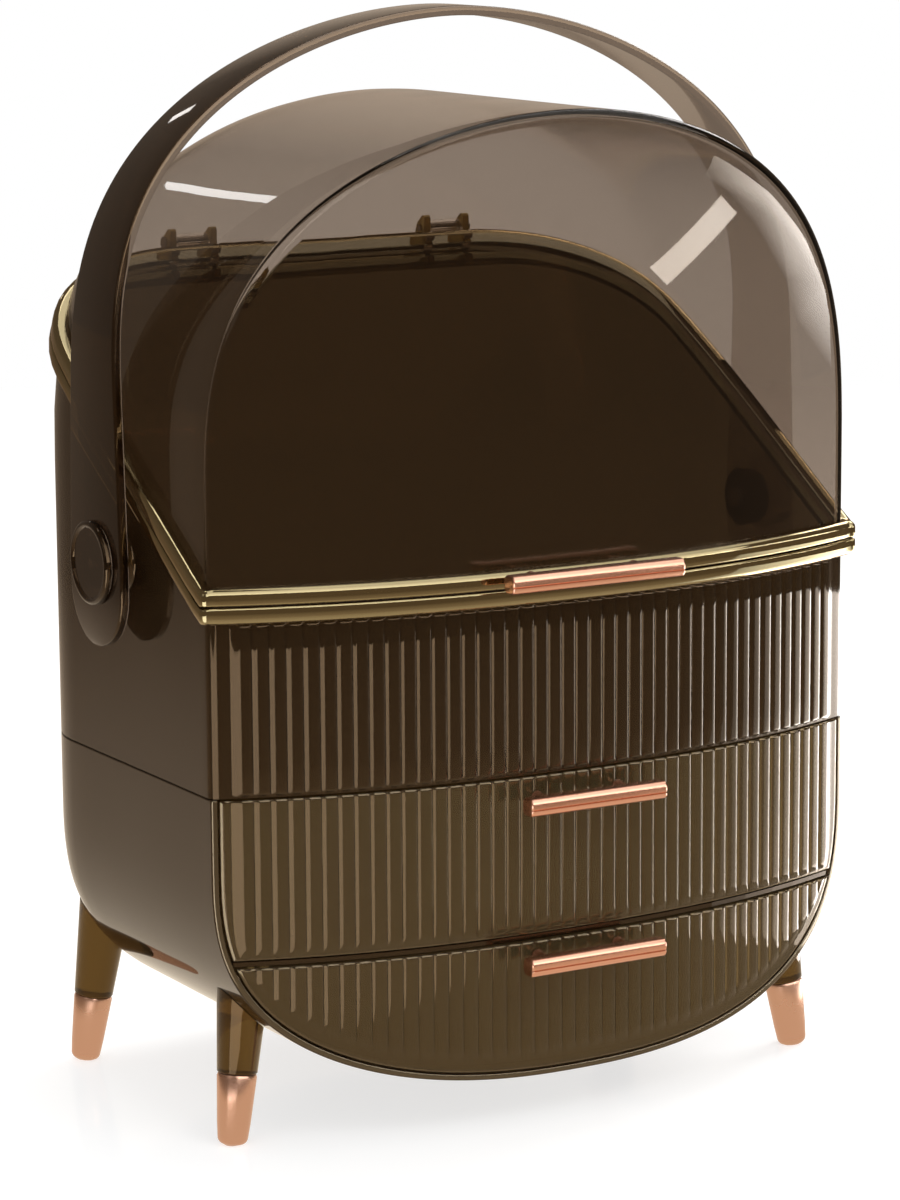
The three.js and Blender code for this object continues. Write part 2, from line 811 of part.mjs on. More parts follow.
// Upper part of a leg, fitted to the belly and bored for its peg and its tip
function legUpper(name, axis) {
  const meeting = legMeeting(axis);
  const profile = [
    [0, legJoinHeight], [legJoinRadius, legJoinHeight], [legTopRadius, legTopHeight], [0, legTopHeight],
  ];
  const body = turnedOnLeg(axis, profile)
    .subtract(egg(-seatGap))
    .subtract(rodOnLeg(axis, pegRadius + seatGap, meeting - pegLength - seatGap, legTopHeight + overrun))
    .subtract(rodOnLeg(axis, studRadius + seatGap, legJoinHeight - overrun, legJoinHeight + studLength));
  return piece(`leg_${name}`, body, drawerFinish);
}

// Metal tip of a leg with its stud, cut level where it stands
function legTip(name, axis) {
  const top = legJoinHeight - seatGap;
  const flatRadius = legTipRadius - legTipRound;
  const profile = [[0, -legTipTrim], [flatRadius, -legTipTrim]];
  for (let k = 1; k <= tipRoundSteps; k += 1) {
    const angle = (Math.PI / 2) * (k / tipRoundSteps);
    const height = legTipRound * (1 - Math.cos(angle)) - legTipTrim;
    profile.push([flatRadius + legTipRound * Math.sin(angle), height]);
  }
  profile.push([legJoinRadius, top], [studRadius, top]);
  profile.push([studRadius, top + studLength - seatGap], [0, top + studLength - seatGap]);
  const body = turnedOnLeg(axis, profile);
  return piece(`leg_tip_${name}`, body.subtract(slice(-overrun, 0)), roseGold);
}

const organizer = new THREE.Group();
organizer.add(lowerHousing(), drawerShelf(), upperTray(), lidShell());
organizer.add(pull('lid_pull', lidPullLength, lidPullHeight, flangeReach));
organizer.add(...pullScrews('lid_pull', lidPullLength, lidPullHeight, flangeReach, wall));
organizer.add(...drawer(
  'middle_drawer',
  shelfTop + slideGap,
  seamHeight - slideGap,
  seamHeight - lipHeight - slideGap,
  middlePullHeight,
));
organizer.add(...drawer(
  'bottom_drawer',
  0,
  shelfUnder - slideGap,
  shelfUnder - seatGap - ledgeHeight - slideGap,
  bottomPullHeight,
));
organizer.add(carryHandle());
for (const [name, side] of [['left', -1], ['right', 1]]) {
  organizer.add(hingePin(`hinge_pin_${name}`, side * hingeOffset));
  organizer.add(pivotCap(`pivot_cap_${name}`, side), pivotScrew(`pivot_screw_${name}`, side));
}
for (const { name, side, end } of corners) {
  const axis = legAxis(side, end);
  organizer.add(legUpper(name, axis), legTip(name, axis));
}

// Origin under the middle of the whole depth, between the pulls and the hinge
const foremost = frontMost - pullFace;
const rearmost = rimBack + earFrontGap + earReach;
organizer.position.y = -(foremost + rearmost) / 2;

export default organizer;
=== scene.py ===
"""Dressed model of an egg-shaped makeup organizer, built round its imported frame.

Metres, +Z up. Depths are measured behind the plane of the body's front corners, and
every mesh is moved into the frame by the shift that the handle's pivot gives.
"""

import json
import logging
import math
from dataclasses import dataclass, field, replace
from enum import Enum
from typing import Any, Callable

import bmesh
import bpy
import numpy as np
from mathutils import Matrix, Vector


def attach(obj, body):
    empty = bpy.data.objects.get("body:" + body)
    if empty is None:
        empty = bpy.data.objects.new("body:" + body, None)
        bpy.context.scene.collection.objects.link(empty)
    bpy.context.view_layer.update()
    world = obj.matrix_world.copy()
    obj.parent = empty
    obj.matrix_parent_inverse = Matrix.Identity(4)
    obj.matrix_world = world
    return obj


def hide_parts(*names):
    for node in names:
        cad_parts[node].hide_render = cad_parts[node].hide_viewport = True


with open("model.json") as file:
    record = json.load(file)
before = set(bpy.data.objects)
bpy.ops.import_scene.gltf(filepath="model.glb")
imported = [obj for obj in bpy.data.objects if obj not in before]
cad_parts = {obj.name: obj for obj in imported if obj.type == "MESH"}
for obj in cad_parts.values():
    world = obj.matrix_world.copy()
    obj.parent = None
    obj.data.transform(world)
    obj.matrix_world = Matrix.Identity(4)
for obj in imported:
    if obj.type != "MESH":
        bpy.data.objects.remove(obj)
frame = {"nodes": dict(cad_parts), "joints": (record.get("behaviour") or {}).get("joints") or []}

LOG = logging.getLogger("organizer")
WELD = 1e-6
SHARP_ANGLE = math.radians(38)

WHITE = (1, 1, 1)
SIDES = ((-1, "left"), (1, "right"))

Colour = tuple[float, float, float]
Pair = tuple[float, float]
Place = tuple[float, float, float]
Socket = bpy.types.NodeSocket
Profile = list[Pair] | tuple[Pair, ...]
HeightLine = Callable[[np.ndarray], np.ndarray]
Rows = list[np.ndarray] | np.ndarray


class Body(Enum):
    """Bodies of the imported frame."""

    ROOT = "root"
    LID = "lid"
    MIDDLE = "middle_drawer"
    BOTTOM = "bottom_drawer"
    HANDLE = "handle"


class Slot(Enum):
    """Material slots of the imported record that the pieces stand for."""

    DOME = "tinted_dome"
    SHELL = "tinted_shell"
    DRAWER = "tinted_drawer"
    GOLD = "rose_gold"


class End(Enum):
    """The end of the egg that a bowl closes over."""

    CROWN = 1
    BELLY = -1


@dataclass(frozen=True)
class EggForm:
    """Outline of the body that every shell follows."""

    half_width: float = 0.150
    depth: float = 0.1765
    bulge: float = 0.028
    back_round: float = 0.0485
    front_round: float = 0.003
    belly_bottom: float = 0.0205
    belly_rise: float = 0.0985
    rim_height: float = 0.2229
    crown_lift: float = 0.0371
    crown_height: float = 0.150
    crown_side_power: float = 1.93
    crown_top_power: float = 2.9
    belly_side_power: float = 2.4
    belly_end_power: float = 2.98
    front_power: float = 2.3
    parting_share: float = 0.63

    @property
    def belly_start(self) -> float:
        """Height above which the sides are straight."""
        return self.belly_bottom + self.belly_rise

    @property
    def crown_start(self) -> float:
        """Height above which the sides curve in."""
        return self.rim_height + self.crown_lift

    @property
    def back_start(self) -> float:
        """Depth at which the back begins to round."""
        return self.depth - self.back_round

    def half_at(self, height: np.ndarray, inset: np.ndarray) -> np.ndarray:
        """Half width of the outline at a height.

        Args:
            height: Heights above the floor.
            inset: Distance that the outline is drawn in by.

        Returns:
            Half widths, zero past the ends of the egg.
        """
        up = np.clip((height - self.crown_start) / (self.crown_height - inset), 0, 1)
        down = np.clip((self.belly_start - height) / (self.belly_rise - inset), 0, 1)
        crown = (1 - up**self.crown_top_power) ** (1 / self.crown_side_power)
        belly = (1 - down**self.belly_end_power) ** (1 / self.belly_side_power)
        return (self.half_width - inset) * np.minimum(crown, belly)

    def belly_at(self, across: np.ndarray, inset: np.ndarray) -> np.ndarray:
        """Height of the belly at a place across.

        Args:
            across: Places across the width.
            inset: Distance that the outline is drawn in by.

        Returns:
            Heights above the floor.
        """
        share = np.clip(np.abs(across) / (self.half_width - inset), 0, 1)
        end = (1 - share**self.belly_side_power) ** (1 / self.belly_end_power)
        return self.belly_start - (self.belly_rise - inset) * end

    def front_at(self, across: np.ndarray, set_back: np.ndarray) -> np.ndarray:
        """Depth of the bowed front at places across.

        Args:
            across: Places across the width.
            set_back: Distance behind the front's outer face.

        Returns:
            Depths, zero at the front corners of the outer face.
        """
        share = np.clip(np.abs(across) / self.half_width, 0, 1)
        return set_back - self.bulge * (1 - share**self.front_power)

    def parting_at(self, depth: np.ndarray) -> np.ndarray:
        """Height of the parting line: level in front, rising behind the corners."""
        return self.rim_height + self.parting_share * np.maximum(0, depth)

    def parting_line(self, lift: float) -> HeightLine:
        """Line that lies a lift above the parting line."""
        return lambda depth: self.parting_at(depth) + lift

    def wrap(self, inset: float, edge: Any, run: Any, turn: Any) -> tuple[Any, Any, Any]:
        """How the rounded edges draw the outline in, for numbers or for arrays.

        Args:
            inset: How far in from the outline, negative outside it.
            edge: Turn round the front edge.
            run: Share along the straight side.
            turn: Turn round the back edge.

        Returns:
            How far the outline and its front are drawn in, and the depth behind the front.
        """
        radius = self.back_round - inset
        set_back = inset + self.front_round * (1 - np.cos(edge))
        ring = inset + self.front_round * (1 - np.sin(edge)) + radius * (1 - np.cos(turn))
        return ring, set_back, self.back_start * run + radius * np.sin(turn)

    def back_inset(self, depth: float) -> float:
        """How far the rounded back draws the outline in at a depth."""
        into = max(0.0, depth - self.back_start) / self.back_round
        return self.back_round * (1 - math.sqrt(max(0.0, 1 - into * into)))


@dataclass(frozen=True)
class Layout:
    """Heights, clearances and places that the sub-assemblies share."""

    wall: float = 0.0026
    seat_gap: float = 0.0003
    slide_gap: float = 0.0005
    rim_gap: float = 0.0006
    shelf_line: float = 0.0788
    seam: float = 0.146
    shelf_thickness: float = 0.0018
    bead_reach: float = 0.0045
    bead_height: float = 0.007
    pivot_depth: float = 0.076
    pivot_height: float = 0.22998
    arm_inner: float = 0.1579
    band_thickness: float = 0.004
    lid_pull_height: float = 0.2272
    lid_pull_length: float = 0.080

    @property
    def shelf_under(self) -> float:
        """Underside of the shelf between the drawers."""
        return self.shelf_line - self.shelf_thickness / 2

    @property
    def shelf_top(self) -> float:
        """Top of the shelf between the drawers."""
        return self.shelf_line + self.shelf_thickness / 2

    @property
    def arm_outer(self) -> float:
        """Outer face of the handle's arms."""
        return self.arm_inner + self.band_thickness


EGG = EggForm()
PLAN = Layout()


def frame_shift() -> float:
    """Distance along Y from the plane of the front corners to the frame's origin."""
    swing = next(joint for joint in frame["joints"] if joint["name"] == "handle_swing")
    return swing["pos_m"][1] - PLAN.pivot_depth


SHIFT = np.array([0.0, frame_shift(), 0.0])


def circle(sides: int) -> np.ndarray:
    """Cosines and sines of even steps round a circle, as two columns."""
    angles = np.linspace(0, 2 * math.pi, sides, endpoint=False)
    return np.column_stack([np.cos(angles), np.sin(angles)])


def turned(profile: Profile, sides: int, centre: Pair | np.ndarray, along: int) -> list[np.ndarray]:
    """Rings of a turned shape.

    Args:
        profile: Pairs of a place along the axis and a radius.
        sides: Points round each ring.
        centre: The two places of the axis across its direction.
        along: Direction of the axis, 0 for X and 1 for Y.

    Returns:
        One closed ring for each pair of the profile.
    """
    rings = [np.array(centre) + radius * circle(sides) for _, radius in profile]
    return [np.insert(ring, along, reach, axis=1) for ring, (reach, _) in zip(rings, profile)]


def rounded_box(half_width: float, half_height: float, radius: float, steps: int) -> np.ndarray:
    """Points round a rectangle with rounded corners.

    Args:
        half_width: Half of its width.
        half_height: Half of its height.
        radius: Radius of its corners.
        steps: Steps round each corner.

    Returns:
        Points in two columns, the upper right corner first and then against the clock.
    """
    points = []
    for quarter, (right, up) in enumerate(((1, 1), (-1, 1), (-1, -1), (1, -1))):
        for step in range(steps + 1):
            angle = (math.pi / 2) * (quarter + step / steps)
            points.append((
                right * (half_width - radius) + radius * math.cos(angle),
                up * (half_height - radius) + radius * math.sin(angle),
            ))
    return np.array(points)


def level_line(height: float) -> HeightLine:
    """Line at one height, whatever the depth."""
    return lambda depth: np.zeros_like(depth) + height


def line_between(low: HeightLine, high: HeightLine, share: float) -> HeightLine:
    """Line part of the way from one line to another."""
    return lambda depth: low(depth) * (1 - share) + high(depth) * share


def link(name: str, data: bpy.types.ID) -> bpy.types.Object:
    """Makes an object and links it to the scene.

    Args:
        name: Name of the object.
        data: Its mesh, lamp or camera.

    Returns:
        The object.
    """
    made = bpy.data.objects.new(name, data)
    bpy.context.scene.collection.objects.link(made)
    return made


@dataclass
class Surface:
    """Points and faces of one mesh while it is made."""

    points: list[np.ndarray] = field(default_factory=list)
    faces: list[tuple[int, ...]] = field(default_factory=list)
    finish: list[int] = field(default_factory=list)
    count: int = 0

    def add_points(self, points: np.ndarray) -> int:
        """Adds points.

        Args:
            points: Points in an array of any shape whose rows are places.

        Returns:
            Index of the first new point.
        """
        flat = np.asarray(points, float).reshape(-1, 3)
        self.points.append(flat)
        self.count += len(flat)
        return self.count - len(flat)

    def add_grid(self, grid: np.ndarray, closed: bool = False, finish: int = 0) -> None:
        """Adds a sheet of quads.

        Args:
            grid: Points laid out as rows by columns.
            closed: Whether the last column joins the first.
            finish: Number of the material that the quads get.
        """
        rows, columns = grid.shape[:2]
        first = self.add_points(grid)
        for row in range(rows - 1):
            for column in range(columns if closed else columns - 1):
                a = first + row * columns + column
                b = first + row * columns + (column + 1) % columns
                self.faces.append((a, b, b + columns, a + columns))
        self.finish += [finish] * (len(self.faces) - len(self.finish))

    def add_cap(self, loop: np.ndarray) -> None:
        """Adds one face.

        Args:
            loop: Points round it.
        """
        first = self.add_points(loop)
        self.faces.append(tuple(range(first, first + len(loop))))
        self.finish.append(0)

    def add_solid(self, rows: Rows, finish: int = 0) -> None:
        """Adds a sheet round rows of points that are closed loops, with a cap at each end.

        Args:
            rows: Loops of points, each as long as the others.
            finish: Number of the material that the sheet gets.
        """
        self.add_grid(np.array(rows), closed=True, finish=finish)
        self.add_cap(rows[0])
        self.add_cap(rows[-1])

    @staticmethod
    def solid(rows: Rows, finish: int = 0) -> "Surface":
        """Makes the surface of one solid.

        Args:
            rows: Loops of points, each as long as the others.
            finish: Number of the material that the sheet gets.

        Returns:
            The surface.
        """
        surface = Surface()
        surface.add_solid(rows, finish)
        return surface

    def mesh(self, name: str) -> bpy.types.Mesh:
        """Welds the surface into a Blender mesh with outward faces.

        Args:
            name: Name of the mesh.

        Returns:
            The mesh, in the frame's coordinates.
        """
        mesh = bpy.data.meshes.new(name)
        points = np.concatenate(self.points) + SHIFT
        mesh.from_pydata(points.tolist(), [], self.faces)
        mesh.polygons.foreach_set("material_index", self.finish)
        work = bmesh.new()
        work.from_mesh(mesh)
        bmesh.ops.remove_doubles(work, verts=work.verts, dist=WELD)
        bmesh.ops.dissolve_degenerate(work, edges=work.edges, dist=WELD)
        bmesh.ops.recalc_face_normals(work, faces=work.faces)
        work.to_mesh(mesh)
        work.free()
        return mesh


def smooth(mesh: bpy.types.Mesh, angle: float = SHARP_ANGLE) -> None:
    """Shades a mesh smooth and keeps steep edges sharp.

    Args:
        mesh: The mesh.
        angle: Edges steeper than this stay sharp.
    """
    mesh.polygons.foreach_set("use_smooth", [True] * len(mesh.polygons))
    mesh.set_sharp_from_angle(angle=angle)


def cut_out(piece: bpy.types.Object, rooms: tuple[Surface, ...]) -> None:
    """Cuts closed surfaces out of a piece.

    Args:
        piece: The piece, its mesh closed.
        rooms: The surfaces that are taken away.
    """
    tools = []
    for room in rooms:
        tool = link("room", room.mesh("room"))
        cut = piece.modifiers.new("cut", "BOOLEAN")
        cut.solver = "EXACT"
        cut.object = tool
        tools.append(tool)
    done = piece.evaluated_get(bpy.context.evaluated_depsgraph_get())
    mesh = bpy.data.meshes.new_from_object(done)
    piece.modifiers.clear()
    piece.data = mesh
    for tool in tools:
        bpy.data.objects.remove(tool)


@dataclass(frozen=True)
class Trim:
    """How the edges of a piece are finished."""

    bevel: float = 0.0
    segments: int = 3
    bevel_angle: float = math.radians(60)
    sharp_angle: float = SHARP_ANGLE
    harden: bool = True

    def round_edges(self, piece: bpy.types.Object) -> None:
        """Bevels the edges of a piece.

        Args:
            piece: The piece.
        """
        bevel = piece.modifiers.new("rounded_edges", "BEVEL")
        bevel.width = self.bevel
        bevel.segments = self.segments
        bevel.limit_method = "ANGLE"
        bevel.angle_limit = self.bevel_angle
        bevel.harden_normals = self.harden


def make_piece(
    name: str,
    surface: Surface,
    body: Body,
    material: bpy.types.Material,
    stands_for: tuple[str, ...] = (),
    trim: Trim = Trim(),
    accents: tuple[bpy.types.Material, ...] = (),
    rooms: tuple[Surface, ...] = (),
) -> None:
    """Turns a surface into a dressed piece that rides on a body.

    Args:
        name: Name of the piece.
        surface: Its points and faces.
        body: Body of the frame that carries it.
        material: Its finish.
        stands_for: Nodes of the frame that it replaces.
        trim: How its edges are finished.
        accents: Finishes of the faces numbered from one.
        rooms: Closed surfaces that are cut out of it.
    """
    made = link(name, surface.mesh(name))
    for finish in (material, *accents):
        made.data.materials.append(finish)
    if rooms:
        cut_out(made, rooms)
    smooth(made.data, trim.sharp_angle)
    if trim.bevel:
        trim.round_edges(made)
    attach(made, body.value)
    if stands_for:
        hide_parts(*stands_for)
    LOG.info("%s: %d faces on %s", name, len(made.data.polygons), body.value)


@dataclass(frozen=True)
class Stations:
    """Places along the plan of the body, from the front round to the front again.

    Each place has a share across the width, a turn round the front edge, a run along
    the side and a turn round the back edge. Turns are angles from 0 to a right angle.
    """

    across: np.ndarray
    edge: np.ndarray
    run: np.ndarray
    turn: np.ndarray

    @staticmethod
    def around(front: np.ndarray, runs: np.ndarray, back: np.ndarray, rounds: int) -> "Stations":
        """Lays out a whole closed loop.

        Args:
            front: Shares across the front, from left to right.
            runs: Shares along the straight side, from 0 to 1.
            back: Shares across the flat back, from left to right.
            rounds: Steps round each rounded edge.

        Returns:
            The stations, starting at the left end of the front.
        """
        right = math.pi / 2
        arc = np.linspace(0, right, rounds + 1)[1:]
        legs = [(front, 0, 0, 0), (1, arc, 0, 0), (1, right, runs[1:], 0), (1, right, 1, arc)]
        legs += [(back[::-1][1:], right, 1, right), (-1, right, 1, arc[:-1][::-1])]
        legs += [(-1, right, runs[::-1], 0), (-1, arc[:-1][::-1], 0, 0)]
        columns: list[list[np.ndarray]] = [[], [], [], []]
        for leg in legs:
            length = max(np.size(value) for value in leg)
            for column, value in zip(columns, leg):
                column.append(np.broadcast_to(np.asarray(value, float), (length,)))
        return Stations(*(np.concatenate(column) for column in columns))

    def toward(self, other: "Stations", share: float) -> "Stations":
        """Stations part of the way from these to others."""
        across = self.across + (other.across - self.across) * share
        return replace(self, across=across)

    def place(self, form: EggForm, inset: float, height: HeightLine) -> np.ndarray:
        """Points of the body's skin at the stations.

        Args:
            form: Outline that is followed.
            inset: How far in from the outline, negative outside it.
            height: Height of the line at each depth.

        Returns:
            One point for each station.
        """
        ring, set_back, behind = form.wrap(inset, self.edge, self.run, self.turn)
        guess = form.front_at(self.across * (form.half_width - ring), set_back) * (1 - self.run)
        z = height(guess + behind)
        x = self.across * form.half_at(z, ring)
        return np.stack([x, form.front_at(x, set_back) * (1 - self.run) + behind, z], axis=1)


@dataclass(frozen=True)
class Bowl:
    """A skin that closes over one end of the egg, drawn as rings from front to back."""

    form: EggForm
    end: End
    columns: int = 72
    side_rows: int = 10
    side_rise: float = 0.02
    run_steps: int = 12
    edge_steps: int = 6
    turn_steps: int = 14

    def bow(self, ring: float, start: float) -> tuple[np.ndarray, np.ndarray]:
        """One ring from its left cut end over the end of the egg to its right cut end.

        Args:
            ring: How far the outline is drawn in.
            start: Height at which the ring is cut.

        Returns:
            Places across and heights.
        """
        form, sign = self.form, self.end.value
        crown = self.end is End.CROWN
        base = form.crown_start if crown else form.belly_start
        reach = (form.crown_height if crown else form.belly_rise) - ring
        side_power = form.crown_side_power if crown else form.belly_side_power
        end_power = form.crown_top_power if crown else form.belly_end_power
        split = sign * max(sign * base, sign * start + self.side_rise)
        limit = math.acos((sign * (split - base) / reach) ** (end_power / 2))
        angles = np.linspace(-limit, limit, self.columns)
        share = np.sign(angles) * np.abs(np.sin(angles)) ** (2 / side_power)
        over_x = share * (form.half_width - ring)
        over_z = base + sign * reach * np.maximum(0, np.cos(angles)) ** (2 / end_power)
        side_z = np.linspace(start, split, self.side_rows)[:-1]
        side_x = form.half_at(side_z, np.full_like(side_z, ring))
        across = np.concatenate([-side_x, over_x, side_x[::-1]])
        return across, np.concatenate([side_z, over_z, side_z[::-1]])

    def rings(self, inset: float, height: HeightLine) -> np.ndarray:
        """Rings of the skin from its front edge to its flat back.

        Args:
            inset: How far the skin lies in from the outline.
            height: Height at which it is cut at each depth.

        Returns:
            Points laid out as rings by places along each ring.
        """
        form, right = self.form, math.pi / 2
        steps: list[Place] = []
        if form.front_round:
            steps += [(edge, 0, 0) for edge in np.linspace(0, right, self.edge_steps + 1)[:-1]]
        steps += [(right, run, 0) for run in np.linspace(0, 1, self.run_steps + 1)]
        steps += [(right, 1, turn) for turn in np.linspace(0, right, self.turn_steps + 1)[1:]]
        rows = []
        for edge, run, turn in steps:
            ring, set_back, behind = form.wrap(inset, edge, run, turn)
            corner = form.front_at(form.half_width - ring, set_back) * (1 - run)
            x, z = self.bow(ring, float(height(corner + behind)))
            rows.append(np.stack([x, form.front_at(x, set_back) * (1 - run) + behind, z], axis=1))
        return np.array(rows)

    def sheet(self, ring: np.ndarray, height: HeightLine, set_back: float | None = None) -> np.ndarray:
        """Sheet that closes a ring at the front or at the back.

        Args:
            ring: Points of the ring.
            height: Height at which the sheet is cut at each depth.
            set_back: Set back of the bowed front, or None for a flat sheet.

        Returns:
            Points laid out as rows by columns.
        """
        first = self.side_rows - 1
        over = ring[first:first + self.columns]
        side = ring[first + self.columns - 1:][::-1]
        scale = side[:, 0] / side[-1, 0]
        rise = (side[:, 2] - side[0, 2]) / (side[-1, 2] - side[0, 2])
        x = over[None, :, 0] * scale[:, None]
        depth = np.full_like(x, ring[0, 1])
        if set_back is not None:
            depth = self.form.front_at(x, np.full_like(x, set_back))
        start = height(depth[0])
        z = start[None, :] + (over[None, :, 2] - start[None, :]) * rise[:, None]
        return np.stack([x, depth, z], axis=2)

    def add_skin(self, surface: Surface, inset: float, height: HeightLine) -> Stations:
        """Adds a skin with a bowed sheet in front and a flat one at the back.

        Args:
            surface: Surface that it is added to.
            inset: How far the skin lies in from the outline.
            height: Height at which it is cut at each depth.

        Returns:
            Stations round its cut edge.
        """
        rings = self.rings(inset, height)
        front, back = self.sheet(rings[0], height, inset), self.sheet(rings[-1], height)
        for grid in (rings, front, back):
            surface.add_grid(grid)
        return self.stations(rings)

    def shares(self, ring: np.ndarray) -> np.ndarray:
        """Shares across the width of a ring's columns over the end of the egg.

        Args:
            ring: Points of the ring.

        Returns:
            Shares from -1 to 1.
        """
        first = self.side_rows - 1
        over = ring[first:first + self.columns, 0]
        return over / over[-1]

    def stations(self, rings: np.ndarray) -> Stations:
        """Stations that match the cut edge of a skin.

        Args:
            rings: Rings of the skin.

        Returns:
            The stations.

        Raises:
            ValueError: The front and back edges differ in steps, so no loop fits both.
        """
        if self.edge_steps != self.turn_steps:
            raise ValueError("the front and back edges need as many steps")
        runs = np.linspace(0, 1, self.run_steps + 1)
        return Stations.around(self.shares(rings[0]), runs, self.shares(rings[-1]), self.turn_steps)


@dataclass(frozen=True)
class Noise:
    """Settings of one noise pattern."""

    scale: float
    detail: float = 3.0
    roughness: float = 0.55
    stretch: Place = (1, 1, 1)


class Graph:
    """Shader nodes of one tree, added and joined by short calls."""

    mix_inputs = (0, 6, 7)  # The Mix node's factor and its two colours.
    mix_output = 2

    def __init__(self, tree: bpy.types.NodeTree) -> None:
        """Keeps the tree that nodes are added to."""
        self.tree = tree

    def add(self, kind: str, **settings: Any) -> bpy.types.Node:
        """Adds a node.

        Args:
            kind: Blender's name of the node type.
            settings: Properties set on the node.

        Returns:
            The new node.
        """
        node = self.tree.nodes.new(kind)
        for name, value in settings.items():
            setattr(node, name, value)
        return node

    def join(self, start: Socket, end: Socket) -> None:
        """Links an output to an input."""
        self.tree.links.new(start, end)

    def feed(self, node: bpy.types.Node, **inputs: Any) -> None:
        """Sets or links inputs of a node.

        Args:
            node: The node.
            inputs: A socket or a value for each input, whose name has _ for each space.
        """
        for name, value in inputs.items():
            socket = node.inputs[name.replace("_", " ")]
            if isinstance(value, bpy.types.NodeSocket):
                self.join(value, socket)
            else:
                socket.default_value = value

    def math(self, kind: str, first: Any, second: Any = None, clamp: bool = False) -> Socket:
        """Adds a math node.

        Args:
            kind: Its operation.
            first: Its first socket or number.
            second: Its second socket or number, if it takes two.
            clamp: Whether the result is held between 0 and 1.

        Returns:
            The node's output.
        """
        node = self.add("ShaderNodeMath", operation=kind, use_clamp=clamp)
        for socket, value in zip(node.inputs, (first, second)):
            if isinstance(value, bpy.types.NodeSocket):
                self.join(value, socket)
            elif value is not None:
                socket.default_value = value
        return node.outputs[0]

    def ramp(self, value: Socket, start: Pair, end: Pair) -> Socket:
        """Maps a value from one range to another, held at both ends.

        Args:
            value: The value.
            start: Limits of its range.
            end: Limits of the range that it is mapped to.

        Returns:
            The mapped value.
        """
        node = self.add("ShaderNodeMapRange")
        limits = dict(zip(("From_Min", "From_Max", "To_Min", "To_Max"), (*start, *end)))
        self.feed(node, Value=value, **limits)
        return node.outputs[0]

    def noise(self, pattern: Noise) -> Socket:
        """Adds a noise pattern fixed to the object.

        Args:
            pattern: Settings of the pattern.

        Returns:
            Its value.
        """
        place = self.add("ShaderNodeTexCoord")
        stretch = self.add("ShaderNodeMapping")
        self.feed(stretch, Scale=pattern.stretch, Vector=place.outputs["Object"])
        node = self.add("ShaderNodeTexNoise")
        self.feed(
            node, Scale=pattern.scale, Detail=pattern.detail, Roughness=pattern.roughness,
            Vector=stretch.outputs["Vector"],
        )
        return node.outputs["Fac"]

    def blend(self, share: Any, first: Any, second: Any) -> Socket:
        """Mixes two colours.

        Args:
            share: Socket or number, 0 for the first colour and 1 for the second.
            first: Socket or colour.
            second: Socket or colour.

        Returns:
            The mixed colour.
        """
        node = self.add("ShaderNodeMix", data_type="RGBA")
        for index, value in zip(self.mix_inputs, (share, first, second)):
            if isinstance(value, bpy.types.NodeSocket):
                self.join(value, node.inputs[index])
            else:
                node.inputs[index].default_value = (*value, 1) if index else value
        return node.outputs[self.mix_output]

    def finish(self, share: Socket, first: Socket, second: Socket) -> None:
        """Feeds the material's output with a mix of two shaders.

        Args:
            share: 0 for the first shader and 1 for the second.
            first: A shader's output.
            second: The other shader's output.
        """
        mix = self.add("ShaderNodeMixShader")
        for socket, value in zip(mix.inputs, (share, first, second)):
            self.join(value, socket)
        self.join(mix.outputs[0], self.tree.nodes["Material Output"].inputs["Surface"])


def new_material(name: str) -> tuple[bpy.types.Material, Graph, bpy.types.Node]:
    """Makes a material.

    Args:
        name: Name of the material.

    Returns:
        The material, its graph and its main shader.
    """
    material = bpy.data.materials.new(name)
    material.use_nodes = True
    graph = Graph(material.node_tree)
    return material, graph, graph.tree.nodes["Principled BSDF"]


